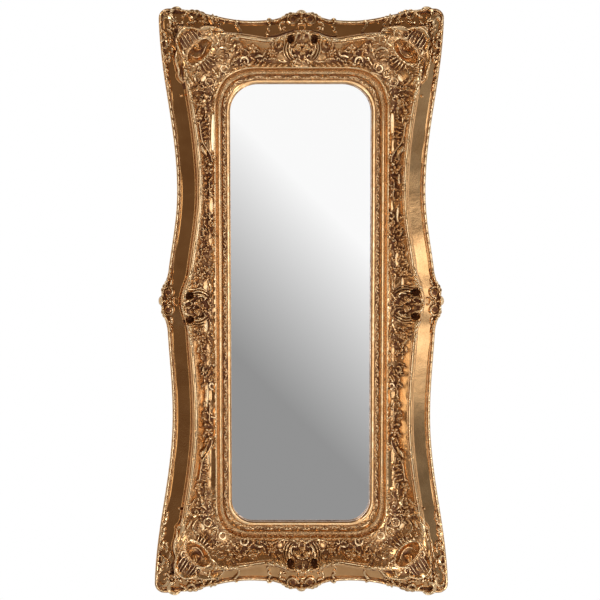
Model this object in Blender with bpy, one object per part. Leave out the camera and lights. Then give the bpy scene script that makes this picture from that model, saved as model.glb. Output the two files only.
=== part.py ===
"""A tall wall mirror in a swept, carved and gilt frame, seen from the front along +Y.

The wall is the plane Y = 0, the front of the frame faces -Y, and the origin is the middle of the back
board's rear face, which rests on the wall. Sizes are in metres. Heights are measured from the wall.
"""

from math import atan2, cos, hypot, pi, radians, sin

import bmesh
import bpy
from mathutils import Vector

# The outline of the frame: half widths at each level, and half heights along the rails.
TOP_CORNER_LEVEL = 0.898
TOP_CORNER_HALF_WIDTH = 0.4385
UPPER_WAIST_LEVEL = 0.335
UPPER_WAIST_HALF_WIDTH = 0.3815
MIDDLE_HALF_WIDTH = 0.4135
LOWER_WAIST_LEVEL = -0.353
LOWER_WAIST_HALF_WIDTH = 0.3955
BOTTOM_CORNER_LEVEL = -0.896
BOTTOM_CORNER_HALF_WIDTH = 0.4505
RAIL_MIDDLE_DROP = 0.029
RAIL_WAIST_DROP = 0.0375
RAIL_WAIST_AT = 0.155
OUTER_CORNER_RADIUS = 0.030
CREST_RISE = 0.018
CREST_REACH = 0.095
CREST_KNOB_RISE = 0.013
CREST_KNOB_REACH = 0.030

# The opening over the glass.
OPENING_TOP_LEVEL = 0.668
OPENING_TOP_HALF_WIDTH = 0.2180
OPENING_TOP_RADIUS = 0.088
OPENING_BOTTOM_LEVEL = -0.680
OPENING_BOTTOM_HALF_WIDTH = 0.2125
OPENING_BOTTOM_RADIUS = 0.068
CORNER_BAND_WIDENING = 0.22

# The glass, the board behind it and the plates on the back.
TOUCHING_GAP = 0.0003
BOARD_THICKNESS = 0.006
BOARD_OVERLAP = 0.040
BOARD_CORNER_RADIUS = 0.020
GLASS_THICKNESS = 0.004
REBATE_WIDTH = 0.010
GLASS_CLEARANCE = 0.0015
PLATE_LENGTH = 0.070
PLATE_WIDTH = 0.022
PLATE_THICKNESS = 0.003
PLATE_LEVEL = 0.430
PLATE_FROM_MIDDLE = 0.335

# Where the rays that carry the moulding stand upright to the rail, and where they fan out to a corner.
RAIL_UPRIGHT = 0.100
SIDE_UPRIGHT = 0.420
CENTRE_HALF_LENGTH = 0.100
CENTRE_STEPS = 5
RAIL_FAN_STEPS = 8
CORNER_ARC_STEPS = 4
SIDE_FAN_STEPS = 11
SIDE_PLAIN_STEPS = 6
FAN_EASE = 1.5

# The moulding, as (distance in from the outline, height) and (distance out from the glass, height).
BACK_LEVEL = BOARD_THICKNESS + TOUCHING_GAP
LIP_BACK_LEVEL = BACK_LEVEL + GLASS_THICKNESS + TOUCHING_GAP
OUTER_BACK = (0.007, BACK_LEVEL)
OUTER_WALL = (0.000, 0.027)
LIP_TOP = (0.003, 0.043)
LIP_INNER = (0.010, 0.043)
HOLLOW_FOOT = (0.020, 0.042)
HOLLOW_MIDDLE = (0.049, 0.055)
RIDGE_OUTER = (0.058, 0.087)
RIDGE_TOP = (0.066, 0.098)
RIDGE_INNER = (0.075, 0.091)
FIELD_ROWS = 5
FILLET_OUTER = (0.050, 0.048)
FILLET_INNER = (0.044, 0.046)
SANDED_BAND = (0.034, 0.043)
QUIRK = (0.025, 0.032)
LEAF_BAND = (0.015, 0.035)
SIGHT_RIM = (0.006, 0.029)
SIGHT_EDGE = (0.000, 0.024)
FIELD_COVE = 1.7
LIP_INNER_ROW = 6
BAND_ROWS = 7
PANE_CORNER_STEPS = 6

# The carved cartouches: a bowl in each corner, and a medallion with two roses in the middle of each rail.
CORNER_RIDGE_OUTWARD = 0.004
CORNER_RIDGE_REACH = 0.300
LOBE_COUNT = 3
LOBE_FIRST = 0.066
LOBE_SPACING = 0.046
LOBE_DEPTH = 0.054
LOBE_HALF_LENGTH = 0.021
LOBE_HALF_WIDTH = 0.017
LOBE_RISE = 0.009
CORNER_PLATEAU = 0.016
CORNER_PLATEAU_REACH = 0.125
BOWL_FROM_CORNER = 0.174
BOWL_HALF_LENGTH = 0.046
BOWL_HALF_WIDTH = 0.025
BOWL_DEPTH = 0.030
BOWL_RIM_RISE = 0.006
BOWL_RIM_REACH = 1.55
FLUTE_COUNT = 6
FLUTE_RISE = 0.004
FLUTE_SECTOR = radians(70)
FLUTE_REACH = 0.105
SHELL_FROM_CORNER = 0.040
SHELL_RADIUS = 0.030
SHELL_RISE = 0.013
MEDALLION_FROM_OUTLINE = 0.118
MEDALLION_RADIUS = 0.046
MEDALLION_RISE = 0.012
ROSE_SPACING = 0.015
ROSE_RADIUS = 0.017
ROSE_RISE = 0.009
HOLE_SPREAD = 0.036
HOLE_OUTWARD = 0.033
HOLE_HALF_LENGTH = 0.020
HOLE_HALF_WIDTH = 0.014
HOLE_DEPTH = 0.026
PALMETTE_OUTWARD = 0.058
PALMETTE_HALF_LENGTH = 0.026
PALMETTE_HALF_WIDTH = 0.018
PALMETTE_RISE = 0.012
WING_SPREAD = 0.082
WING_OUTWARD = 0.028
WING_HALF_LENGTH = 0.034
WING_HALF_WIDTH = 0.017
WING_RISE = 0.008
CENTRE_SPRAY_SPREAD = 0.075
CENTRE_SPRAY_HALF_LENGTH = 0.038
CENTRE_SPRAY_HALF_WIDTH = 0.020
CENTRE_SPRAY_RISE = 0.008
GARLAND_WAVE = 0.118
GARLAND_RISE = 0.007
CARVED_CORNER_REACH = 0.115
CARVED_BOWL_REACH = 0.055
CARVED_CENTRE_REACH = 0.085
CARTOUCHE_EDGE = 0.017
BOWL_EDGE = 0.013

PARTS_NAME = "wall_mirror"


def eased(start, end, share):
    """A value that leaves start and reaches end as a half wave does."""
    share = min(max(share, 0.0), 1.0)
    return start + (end - start) * (1.0 - cos(pi * share)) / 2.0


def swell(distance, reach):
    """A smooth hump, 1 in its middle and 0 at its reach."""
    share = min(abs(distance) / reach, 1.0)
    return (1.0 + cos(pi * share)) / 2.0


def half_width(level):
    """Half of the frame's width at a level, with the waists and the swelling at its middle."""
    if level > UPPER_WAIST_LEVEL:
        share = (level - UPPER_WAIST_LEVEL) / (TOP_CORNER_LEVEL - UPPER_WAIST_LEVEL)
        width = eased(UPPER_WAIST_HALF_WIDTH, TOP_CORNER_HALF_WIDTH, share)
    elif level > 0.0:
        width = eased(MIDDLE_HALF_WIDTH, UPPER_WAIST_HALF_WIDTH, level / UPPER_WAIST_LEVEL)
    elif level > LOWER_WAIST_LEVEL:
        width = eased(MIDDLE_HALF_WIDTH, LOWER_WAIST_HALF_WIDTH, level / LOWER_WAIST_LEVEL)
    else:
        share = (level - LOWER_WAIST_LEVEL) / (BOTTOM_CORNER_LEVEL - LOWER_WAIST_LEVEL)
        width = eased(LOWER_WAIST_HALF_WIDTH, BOTTOM_CORNER_HALF_WIDTH, share)
    return width + CREST_RISE * swell(level, CREST_REACH)


def half_height(across, corner):
    """How far a rail's outline stands from the middle of the frame, at a distance across."""
    across = abs(across)
    if across < RAIL_WAIST_AT:
        drop = eased(RAIL_MIDDLE_DROP, RAIL_WAIST_DROP, across / RAIL_WAIST_AT)
    else:
        run = corner.half_width - OUTER_CORNER_RADIUS - RAIL_WAIST_AT
        drop = eased(RAIL_WAIST_DROP, 0.0, (across - RAIL_WAIST_AT) / run)
    return corner.level - drop + CREST_RISE * swell(across, CREST_REACH)


class Corner:
    """One end of the frame: how high it stands and how wide it is, outside and at the glass."""

    def __init__(self, upward, level, width, opening_level, opening_width, opening_radius):
        self.upward = upward
        self.level = level
        self.half_width = width
        self.opening_level = opening_level
        self.opening_half_width = opening_width
        self.opening_radius = opening_radius

    def outline_depth(self, point):
        """How far a point lies in from the outline, in the quarter where both values are positive."""
        from_side = half_width(self.upward * point.y) - point.x
        from_rail = half_height(point.x, self) - point.y
        side_gap = OUTER_CORNER_RADIUS - from_side
        rail_gap = OUTER_CORNER_RADIUS - from_rail
        if side_gap > 0.0 and rail_gap > 0.0:
            return OUTER_CORNER_RADIUS - hypot(side_gap, rail_gap)
        return min(from_side, from_rail)

    def opening_side(self, level):
        """Half of the opening's width, which tapers a little towards the bottom."""
        top = OPENING_TOP_LEVEL - OPENING_TOP_RADIUS
        bottom = OPENING_BOTTOM_LEVEL + OPENING_BOTTOM_RADIUS
        share = min(max((self.upward * level - bottom) / (top - bottom), 0.0), 1.0)
        return OPENING_BOTTOM_HALF_WIDTH + (OPENING_TOP_HALF_WIDTH - OPENING_BOTTOM_HALF_WIDTH) * share

    def opening_at(self, run):
        """The point, outward direction and band widening at a run along the sight edge from its middle."""
        straight = self.opening_half_width - self.opening_radius
        arc = self.opening_radius * pi / 2.0
        if run < straight:
            return Vector((run, self.opening_level)), Vector((0.0, 1.0)), 1.0
        if run < straight + arc:
            turn = (run - straight) / self.opening_radius
            outward = Vector((sin(turn), cos(turn)))
            middle = Vector((straight, self.opening_level - self.opening_radius))
            widening = 1.0 + CORNER_BAND_WIDENING * sin(2.0 * turn) ** 2
            return middle + outward * self.opening_radius, outward, widening
        level = self.opening_level - self.opening_radius - (run - straight - arc)
        return Vector((self.opening_side(level), level)), Vector((1.0, 0.0)), 1.0

    def run_at_level(self, level):
        """The run along the sight edge at which it passes a level on the side."""
        straight = self.opening_half_width - self.opening_radius
        arc = self.opening_radius * pi / 2.0
        return straight + arc + self.opening_level - self.opening_radius - level


TOP = Corner(
    1.0,
    TOP_CORNER_LEVEL,
    TOP_CORNER_HALF_WIDTH,
    OPENING_TOP_LEVEL,
    OPENING_TOP_HALF_WIDTH,
    OPENING_TOP_RADIUS,
)
BOTTOM = Corner(
    -1.0,
    -BOTTOM_CORNER_LEVEL,
    BOTTOM_CORNER_HALF_WIDTH,
    -OPENING_BOTTOM_LEVEL,
    OPENING_BOTTOM_HALF_WIDTH,
    OPENING_BOTTOM_RADIUS,
)


def quarter_rays(corner):
    """Pairs of an outline point and a run along the sight edge, from a rail's middle to a side's middle."""
    rays = []
    for step in range(CENTRE_STEPS):
        across = RAIL_UPRIGHT * step / CENTRE_STEPS
        rays.append((Vector((across, half_height(across, corner))), across))
    radius = OUTER_CORNER_RADIUS
    arc_middle = Vector((corner.half_width - radius, corner.level - radius))
    diagonal_run = corner.opening_half_width - corner.opening_radius + corner.opening_radius * pi / 4.0
    arc_share = corner.opening_radius * pi / 16.0
    for step in range(RAIL_FAN_STEPS):
        share = step / RAIL_FAN_STEPS
        across = RAIL_UPRIGHT + (arc_middle.x - RAIL_UPRIGHT) * share
        reach = diagonal_run - arc_share - RAIL_UPRIGHT
        run = RAIL_UPRIGHT + reach * (1.0 - (1.0 - share) ** FAN_EASE)
        rays.append((Vector((across, half_height(across, corner))), run))
    for step in range(CORNER_ARC_STEPS + 1):
        share = step / CORNER_ARC_STEPS
        turn = share * pi / 2.0
        point = arc_middle + Vector((sin(turn), cos(turn))) * radius
        rays.append((point, diagonal_run + arc_share * (2.0 * share - 1.0)))
    end_run = corner.run_at_level(SIDE_UPRIGHT)
    for step in range(1, SIDE_FAN_STEPS + 1):
        share = 1.0 - step / SIDE_FAN_STEPS
        level = SIDE_UPRIGHT + (arc_middle.y - SIDE_UPRIGHT) * share
        reach = end_run - diagonal_run - arc_share
        run = end_run - reach * (1.0 - (1.0 - share) ** FAN_EASE)
        rays.append((Vector((half_width(corner.upward * level), level)), run))
    for step in range(1, SIDE_PLAIN_STEPS + 1):
        share = step / SIDE_PLAIN_STEPS
        level = SIDE_UPRIGHT + (CENTRE_HALF_LENGTH - SIDE_UPRIGHT) * share
        rays.append((Vector((half_width(corner.upward * level), level)), corner.run_at_level(level)))
    for step in range(1, CENTRE_STEPS + 1):
        level = CENTRE_HALF_LENGTH * (1.0 - step / CENTRE_STEPS)
        rays.append((Vector((half_width(corner.upward * level), level)), corner.run_at_level(level)))
    return rays


def along_ray(corner, outer, inner, depth):
    """The point between outer and inner that lies a given depth in from the outline."""
    low = 0.0
    high = 1.0
    for _ in range(24):
        share = (low + high) / 2.0
        if corner.outline_depth(outer.lerp(inner, share)) < depth:
            low = share
        else:
            high = share
    return outer.lerp(inner, high)


def corner_shift(point, corner):
    """How much further out the ridge stands in a corner, where the cartouche crowds the hollow."""
    from_corner = hypot(corner.half_width - point.x, corner.level - point.y)
    return CORNER_RIDGE_OUTWARD * swell(from_corner, CORNER_RIDGE_REACH)


def moulding_rows(corner, outer, run):
    """One ray's ring of points, as (place, height), from the back of the lip round to its front."""
    sight, outward, widening = corner.opening_at(run)

    def from_sight(distance, height):
        return sight + outward * distance * widening, height

    fillet = from_sight(*FILLET_OUTER)[0]
    ridge_shift = corner_shift(outer, corner)

    def from_outline(distance, height, shift=0.0):
        return along_ray(corner, outer, fillet, distance - shift), height

    knob = CREST_KNOB_RISE * swell(min(outer.x, abs(outer.y)), CREST_KNOB_REACH)
    knob_way = (outer - fillet).normalized()

    def on_edge(distance, height):
        return along_ray(corner, outer, fillet, distance) + knob_way * knob, height

    rows = [
        (sight, LIP_BACK_LEVEL),
        (sight + outward * REBATE_WIDTH, LIP_BACK_LEVEL),
        (sight + outward * REBATE_WIDTH, BACK_LEVEL),
        from_outline(*OUTER_BACK),
        on_edge(*OUTER_WALL),
        on_edge(*LIP_TOP),
        on_edge(*LIP_INNER),
        from_outline(*HOLLOW_FOOT, ridge_shift / 3.0),
        from_outline(*HOLLOW_MIDDLE, ridge_shift * 2.0 / 3.0),
        from_outline(*RIDGE_OUTER, ridge_shift),
        from_outline(*RIDGE_TOP, ridge_shift),
        from_outline(*RIDGE_INNER, ridge_shift),
    ]
    ridge, ridge_height = rows[-1]
    for row in range(1, FIELD_ROWS + 1):
        share = row / (FIELD_ROWS + 1)
        cove = (1.0 - share) ** FIELD_COVE
        height = FILLET_OUTER[1] + (ridge_height - FILLET_OUTER[1]) * cove
        rows.append((ridge.lerp(fillet, share), height))
    for band in (FILLET_OUTER, FILLET_INNER, SANDED_BAND, QUIRK, LEAF_BAND, SIGHT_RIM, SIGHT_EDGE):
        rows.append(from_sight(*band))
    return rows


def frame_rings():
    """Every ring of the moulding in order round the frame, from the top's middle clockwise."""
    top_right = [moulding_rows(TOP, *ray) for ray in quarter_rays(TOP)]
    bottom_right = [
        [(Vector((place.x, -place.y)), height) for place, height in moulding_rows(BOTTOM, *ray)]
        for ray in quarter_rays(BOTTOM)
    ]
    right = top_right + bottom_right[-2::-1]
    left = [[(Vector((-place.x, place.y)), height) for place, height in ring] for ring in right[-2:0:-1]]
    return right + left


def in_local(point, middle, outward):
    """A point's place as (outward, sideways) about a middle."""
    offset = point - middle
    sideways = Vector((outward.y, -outward.x))
    return offset.dot(outward), offset.dot(sideways)


def dome(out, side, half_out, half_side):
    """A smooth oval hump, 1 in its middle and 0 at its edge."""
    return max(0.0, 1.0 - (out / half_out) ** 2 - (side / half_side) ** 2)


def corner_relief(point, corner):
    """The corner cartouche: a bowl with a raised rim, flutes round it and a shell on the outer lip."""
    diagonal = Vector((1.0, 1.0)).normalized()
    tip = Vector((corner.half_width, corner.level))
    out, side = in_local(point, tip - diagonal * BOWL_FROM_CORNER, diagonal)
    distance = hypot(out, side)
    ring = hypot(out / BOWL_HALF_WIDTH, side / BOWL_HALF_LENGTH)
    relief = CORNER_PLATEAU * swell(distance, CORNER_PLATEAU_REACH)
    relief += BOWL_RIM_RISE * swell(ring - 1.2, BOWL_RIM_REACH - 1.2)
    relief -= BOWL_DEPTH * max(0.0, 1.0 - ring * ring)
    turn = atan2(side, abs(out))
    if ring > 1.2 and abs(turn) < FLUTE_SECTOR:
        fade = swell(distance - FLUTE_REACH / 2.0, FLUTE_REACH / 2.0)
        relief += FLUTE_RISE * cos(2.0 * FLUTE_COUNT * turn) * fade
    shell_out, shell_side = in_local(point, tip - diagonal * SHELL_FROM_CORNER, diagonal)
    relief += SHELL_RISE * dome(shell_out, shell_side, SHELL_RADIUS, SHELL_RADIUS)
    from_tip = sorted((corner.half_width - point.x, corner.level - point.y))
    for lobe in range(LOBE_COUNT):
        along = from_tip[1] - LOBE_FIRST - LOBE_SPACING * lobe
        relief += LOBE_RISE * dome(from_tip[0] - LOBE_DEPTH, along, LOBE_HALF_WIDTH, LOBE_HALF_LENGTH)
    return relief


def centre_relief(out, side):
    """A rail's middle cartouche, from its medallion: roses, deep holes, palmette, wings and sprays."""
    side = abs(side)
    relief = MEDALLION_RISE * dome(out, side, MEDALLION_RADIUS, MEDALLION_RADIUS)
    relief += ROSE_RISE * dome(out, side - ROSE_SPACING, ROSE_RADIUS, ROSE_RADIUS)
    relief += PALMETTE_RISE * dome(out - PALMETTE_OUTWARD, side, PALMETTE_HALF_WIDTH, PALMETTE_HALF_LENGTH)
    relief += WING_RISE * dome(out - WING_OUTWARD, side - WING_SPREAD, WING_HALF_WIDTH, WING_HALF_LENGTH)
    relief += CENTRE_SPRAY_RISE * dome(
        out, side - CENTRE_SPRAY_SPREAD, CENTRE_SPRAY_HALF_WIDTH, CENTRE_SPRAY_HALF_LENGTH
    )
    hole = dome(out - HOLE_OUTWARD, side - HOLE_SPREAD, HOLE_HALF_WIDTH, HOLE_HALF_LENGTH)
    return relief - HOLE_DEPTH * hole


def garland_relief(point, corner):
    """The leaves and flowers in the plain stretches of the field, as one rolling garland."""
    along, from_sight = point.y, point.x - corner.opening_side(point.y)
    if point.y > corner.opening_level:
        along, from_sight = point.x, point.y - corner.opening_level
    inner = from_sight - FILLET_OUTER[0]
    outer = corner.outline_depth(point) - RIDGE_INNER[0]
    if inner <= 0.0 or outer <= 0.0:
        return 0.0
    share = inner / (inner + outer)
    roll = 0.6 + 0.4 * cos(2.0 * pi * along / GARLAND_WAVE + pi * share)
    return GARLAND_RISE * sin(pi * share) * roll


def carved_height(point, height):
    """The height of the front at a point once its cartouches and garlands are carved."""
    corner = TOP if point.y > 0.0 else BOTTOM
    place = Vector((abs(point.x), abs(point.y)))
    rail_middle = Vector((0.0, half_height(0.0, corner) - MEDALLION_FROM_OUTLINE))
    side_middle = Vector((half_width(0.0) - MEDALLION_FROM_OUTLINE, 0.0))
    height += corner_relief(place, corner)
    height += centre_relief(*in_local(place, rail_middle, Vector((0.0, 1.0))))
    height += centre_relief(*in_local(place, side_middle, Vector((1.0, 0.0))))
    return height + garland_relief(place, corner)


def bowl_distance(edge):
    """How far the middle of an edge lies from the nearest corner's bowl."""
    place = ((edge.verts[0].co + edge.verts[1].co) / 2.0).xz
    corner = TOP if place.y > 0.0 else BOTTOM
    bowl = Vector((corner.half_width, corner.level)) - Vector((1.0, 1.0)).normalized() * BOWL_FROM_CORNER
    return (Vector((abs(place.x), abs(place.y))) - bowl).length


def near_middle(edge):
    """Whether an edge lies in the cartouche in the middle of a rail or a side."""
    place = ((edge.verts[0].co + edge.verts[1].co) / 2.0).xz
    on_rail = abs(place.x) < CARVED_CENTRE_REACH and abs(place.y) > OPENING_TOP_LEVEL
    return on_rail or abs(place.y) < CARVED_CENTRE_REACH


def halve_edges(shape, plain, longest, is_carved):
    """Halve the edges of the front that are carved and longer than the carving allows."""
    edges = [
        edge
        for edge in shape.edges
        if not any(vertex[plain] for vertex in edge.verts)
        and edge.calc_length() > longest
        and is_carved(edge)
    ]
    bmesh.ops.subdivide_edges(shape, edges=edges, cuts=1, use_grid_fill=True)


def in_cartouche(edge):
    """Whether an edge lies in a corner's or a middle's cartouche."""
    return near_middle(edge) or bowl_distance(edge) < CARVED_CORNER_REACH


def in_bowl(edge):
    """Whether an edge lies in or close round a corner's bowl."""
    return bowl_distance(edge) < CARVED_BOWL_REACH


def new_object(name, mesh, collection, material):
    """Link a mesh as a named object of the mirror, with its own material."""
    mesh.materials.append(material)
    made = bpy.data.objects.new(name, mesh)
    collection.objects.link(made)
    return made


def principled(name, colour, roughness, metallic):
    """A plain Principled material."""
    material = bpy.data.materials.new(name)
    material.use_nodes = True
    shader = material.node_tree.nodes["Principled BSDF"]
    shader.inputs["Base Color"].default_value = (*colour, 1.0)
    shader.inputs["Roughness"].default_value = roughness
    shader.inputs["Metallic"].default_value = metallic
    return material


def carve_frame(collection):
    """The frame: a torus whose rings are moved onto the moulding, refined and carved in front."""
    rings = frame_rings()
    row_count = len(rings[0])
    bpy.ops.mesh.primitive_torus_add(major_segments=len(rings), minor_segments=row_count)
    torus = bpy.context.object
    mesh = torus.data
    bpy.data.objects.remove(torus)
    for index, vertex in enumerate(mesh.vertices):
        place, height = rings[index // row_count][index % row_count]
        vertex.co = (place.x, -height, place.y)

    shape = bmesh.new()
    shape.from_mesh(mesh)
    shape.verts.ensure_lookup_table()
    front_rows = range(LIP_INNER_ROW, row_count - BAND_ROWS + 1)
    plain = shape.verts.layers.int.new("plain")
    for index, vertex in enumerate(shape.verts):
        vertex[plain] = index % row_count not in front_rows
    halve_edges(shape, plain, CARTOUCHE_EDGE, in_cartouche)
    halve_edges(shape, plain, BOWL_EDGE, in_bowl)
    for vertex in shape.verts:
        if not vertex[plain]:
            vertex.co.y = -carved_height(vertex.co.xz, -vertex.co.y)
    bmesh.ops.triangulate(shape, faces=shape.faces)
    bmesh.ops.recalc_face_normals(shape, faces=shape.faces)
    shape.to_mesh(mesh)
    shape.free()
    mesh.shade_smooth()
    gilt = principled("antique_gilt", (0.42, 0.24, 0.10), 0.34, 1.0)
    return new_object("carved_frame", mesh, collection, gilt)


def rounded_slab(name, corners, near, far, collection, material):
    """A flat pane between two heights whose corners are rounded, as (x, level, radius) clockwise."""
    shape = bmesh.new()
    rim = []
    for (across, level, radius), start in zip(corners, (0.0, 0.5, 1.0, 1.5)):
        inward = Vector((-1.0 if across > 0 else 1.0, -1.0 if level > 0 else 1.0))
        middle = Vector((across, level)) + inward * radius
        for step in range(PANE_CORNER_STEPS + 1):
            turn = pi * (start + 0.5 * step / PANE_CORNER_STEPS)
            point = middle + Vector((sin(turn), cos(turn))) * radius
            rim.append(shape.verts.new((point.x, -near, point.y)))
    face = shape.faces.new(rim)
    grown = bmesh.ops.extrude_face_region(shape, geom=[face])["geom"]
    moved = [item for item in grown if isinstance(item, bmesh.types.BMVert)]
    bmesh.ops.translate(shape, verts=moved, vec=(0.0, near - far, 0.0))
    bmesh.ops.recalc_face_normals(shape, faces=shape.faces)
    mesh = bpy.data.meshes.new(name)
    shape.to_mesh(mesh)
    shape.free()
    return new_object(name, mesh, collection, material)


def opening_corners(grow):
    """The opening's four rounded corners, grown outwards, clockwise from the upper right."""
    top = (OPENING_TOP_LEVEL + grow, OPENING_TOP_HALF_WIDTH + grow, OPENING_TOP_RADIUS + grow)
    bottom = (OPENING_BOTTOM_LEVEL - grow, OPENING_BOTTOM_HALF_WIDTH + grow, OPENING_BOTTOM_RADIUS + grow)
    return [
        (top[1], top[0], top[2]),
        (bottom[1], bottom[0], bottom[2]),
        (-bottom[1], bottom[0], bottom[2]),
        (-top[1], top[0], top[2]),
    ]


def fit_glass(collection):
    """The silvered pane, which lies in the rebate between the frame's lip and the back board."""
    silver = principled("silvered_glass", (0.85, 0.86, 0.87), 0.03, 1.0)
    corners = opening_corners(REBATE_WIDTH - GLASS_CLEARANCE)
    front = BACK_LEVEL + GLASS_THICKNESS
    return rounded_slab("mirror_glass", corners, BACK_LEVEL, front, collection, silver)


def fit_back_board(collection):
    """The board over the back of the frame, which is the face that rests on the wall."""
    board = principled("brown_board", (0.28, 0.19, 0.12), 0.8, 0.0)
    corners = [
        (across, level, BOARD_CORNER_RADIUS) for across, level, radius in opening_corners(BOARD_OVERLAP)
    ]
    return rounded_slab("back_board", corners, 0.0, BOARD_THICKNESS, collection, board)


def fit_hanging_plate(name, across, collection):
    """A steel hanging plate on the back of a side rail."""
    steel = principled(f"{name}_steel", (0.55, 0.55, 0.56), 0.4, 1.0)
    half_across = PLATE_WIDTH / 2.0
    half_length = PLATE_LENGTH / 2.0
    bpy.ops.mesh.primitive_cube_add(size=1.0)
    cube = bpy.context.object
    mesh = cube.data
    bpy.data.objects.remove(cube)
    middle = Vector((across, -(BACK_LEVEL - TOUCHING_GAP - PLATE_THICKNESS / 2.0), PLATE_LEVEL))
    for vertex in mesh.vertices:
        vertex.co.x = middle.x + 2.0 * half_across * vertex.co.x
        vertex.co.y = middle.y + PLATE_THICKNESS * vertex.co.y
        vertex.co.z = middle.z + 2.0 * half_length * vertex.co.z
    return new_object(name, mesh, collection, steel)


def main():
    """Clear the scene and make the mirror's five pieces."""
    for old in list(bpy.data.objects):
        bpy.data.objects.remove(old, do_unlink=True)
    collection = bpy.data.collections.new(PARTS_NAME)
    bpy.context.scene.collection.children.link(collection)
    carve_frame(collection)
    fit_glass(collection)
    fit_back_board(collection)
    fit_hanging_plate("hanging_plate_left", -PLATE_FROM_MIDDLE, collection)
    fit_hanging_plate("hanging_plate_right", PLATE_FROM_MIDDLE, collection)


main()
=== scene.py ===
# %% [markdown]
# ## The imported mirror
# The plain mirror already exists as simple solids: a carved frame, the pane of looking glass, a board
# behind it and two steel plates to hang it by. They are loaded first, and stay where they are. Every piece
# made below is fitted to them.

# %% Load the solids
from functools import cache, partial
from math import cos, pi, radians, sin

import bmesh
import bpy
import numpy as np
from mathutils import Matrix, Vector


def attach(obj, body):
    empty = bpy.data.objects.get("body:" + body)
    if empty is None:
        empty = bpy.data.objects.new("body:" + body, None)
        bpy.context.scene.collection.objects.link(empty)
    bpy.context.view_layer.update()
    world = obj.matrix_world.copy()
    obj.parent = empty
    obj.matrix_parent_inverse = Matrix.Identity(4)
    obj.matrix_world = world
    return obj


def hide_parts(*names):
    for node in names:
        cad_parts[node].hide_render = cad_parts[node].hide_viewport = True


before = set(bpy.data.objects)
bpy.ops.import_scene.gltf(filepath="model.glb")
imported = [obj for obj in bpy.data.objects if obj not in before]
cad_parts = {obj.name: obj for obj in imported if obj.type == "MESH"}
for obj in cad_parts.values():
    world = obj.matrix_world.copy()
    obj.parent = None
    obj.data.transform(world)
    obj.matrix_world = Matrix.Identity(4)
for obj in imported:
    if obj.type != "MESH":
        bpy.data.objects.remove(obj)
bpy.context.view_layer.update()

# %% [markdown]
# ## The outline of the frame
# A swept frame has no straight edge: it is wide at the corners, drawn in at two waists, and swells again at
# its middle. A joiner draws such a line once with a bent lath and uses it for every layer. Here it is a
# formula: half the width at any level, and half the height at any place across. A formula can be asked how
# deep inside the outline any point lies, and that one answer shapes everything that follows.

# %% Outline sizes and formulas
TOP_CORNER_LEVEL = 0.898
TOP_CORNER_HALF_WIDTH = 0.4385
UPPER_WAIST_LEVEL = 0.335
UPPER_WAIST_HALF_WIDTH = 0.3815
MIDDLE_HALF_WIDTH = 0.4135
LOWER_WAIST_LEVEL = -0.353
LOWER_WAIST_HALF_WIDTH = 0.3955
BOTTOM_CORNER_LEVEL = -0.896
BOTTOM_CORNER_HALF_WIDTH = 0.4505
RAIL_MIDDLE_DROP = 0.029
RAIL_WAIST_DROP = 0.0375
RAIL_WAIST_AT = 0.155
OUTER_CORNER_RADIUS = 0.030
CREST_RISE = 0.018
CREST_REACH = 0.095


def eased(start, end, share):
    """A value that leaves start and reaches end as a half wave does."""
    share = np.clip(share, 0.0, 1.0)
    return start + (end - start) * (1.0 - np.cos(pi * share)) / 2.0


def swell(distance, reach):
    """A smooth hump, 1 in its middle and 0 at its reach."""
    share = np.minimum(np.abs(distance) / reach, 1.0)
    return (1.0 + np.cos(pi * share)) / 2.0


def half_width(level):
    """Half of the frame's width at a level."""
    level = np.asarray(level, float)
    top_share = (level - UPPER_WAIST_LEVEL) / (TOP_CORNER_LEVEL - UPPER_WAIST_LEVEL)
    bottom_share = (level - LOWER_WAIST_LEVEL) / (BOTTOM_CORNER_LEVEL - LOWER_WAIST_LEVEL)
    top = eased(UPPER_WAIST_HALF_WIDTH, TOP_CORNER_HALF_WIDTH, top_share)
    above = eased(MIDDLE_HALF_WIDTH, UPPER_WAIST_HALF_WIDTH, level / UPPER_WAIST_LEVEL)
    below = eased(MIDDLE_HALF_WIDTH, LOWER_WAIST_HALF_WIDTH, level / LOWER_WAIST_LEVEL)
    bottom = eased(LOWER_WAIST_HALF_WIDTH, BOTTOM_CORNER_HALF_WIDTH, bottom_share)
    where = [level > UPPER_WAIST_LEVEL, level > 0.0, level > LOWER_WAIST_LEVEL]
    return np.select(where, [top, above, below], bottom) + CREST_RISE * swell(level, CREST_REACH)


def corner_sizes(level):
    """The half width and half height of the corners on the same end of the frame as each level."""
    upper = np.asarray(level, float) > 0.0
    wide = np.where(upper, TOP_CORNER_HALF_WIDTH, BOTTOM_CORNER_HALF_WIDTH)
    return wide, np.where(upper, TOP_CORNER_LEVEL, -BOTTOM_CORNER_LEVEL)


def half_height(across, level):
    """How far a rail's outline stands from the middle of the frame, at a distance across."""
    across = np.abs(across)
    wide, high = corner_sizes(level)
    waist = eased(RAIL_MIDDLE_DROP, RAIL_WAIST_DROP, across / RAIL_WAIST_AT)
    run = wide - OUTER_CORNER_RADIUS - RAIL_WAIST_AT
    end = eased(RAIL_WAIST_DROP, 0.0, (across - RAIL_WAIST_AT) / run)
    return high - np.where(across < RAIL_WAIST_AT, waist, end) + CREST_RISE * swell(across, CREST_REACH)


def outline_depth(across, level):
    """How far a point lies in from the outline. Outside it the depth is negative."""
    from_side = half_width(level) - np.abs(across)
    from_rail = half_height(across, level) - np.abs(level)
    side_gap = OUTER_CORNER_RADIUS - from_side
    rail_gap = OUTER_CORNER_RADIUS - from_rail
    rounded = OUTER_CORNER_RADIUS - np.hypot(side_gap, rail_gap)
    return np.where((side_gap > 0.0) & (rail_gap > 0.0), rounded, np.minimum(from_side, from_rail))


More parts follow.
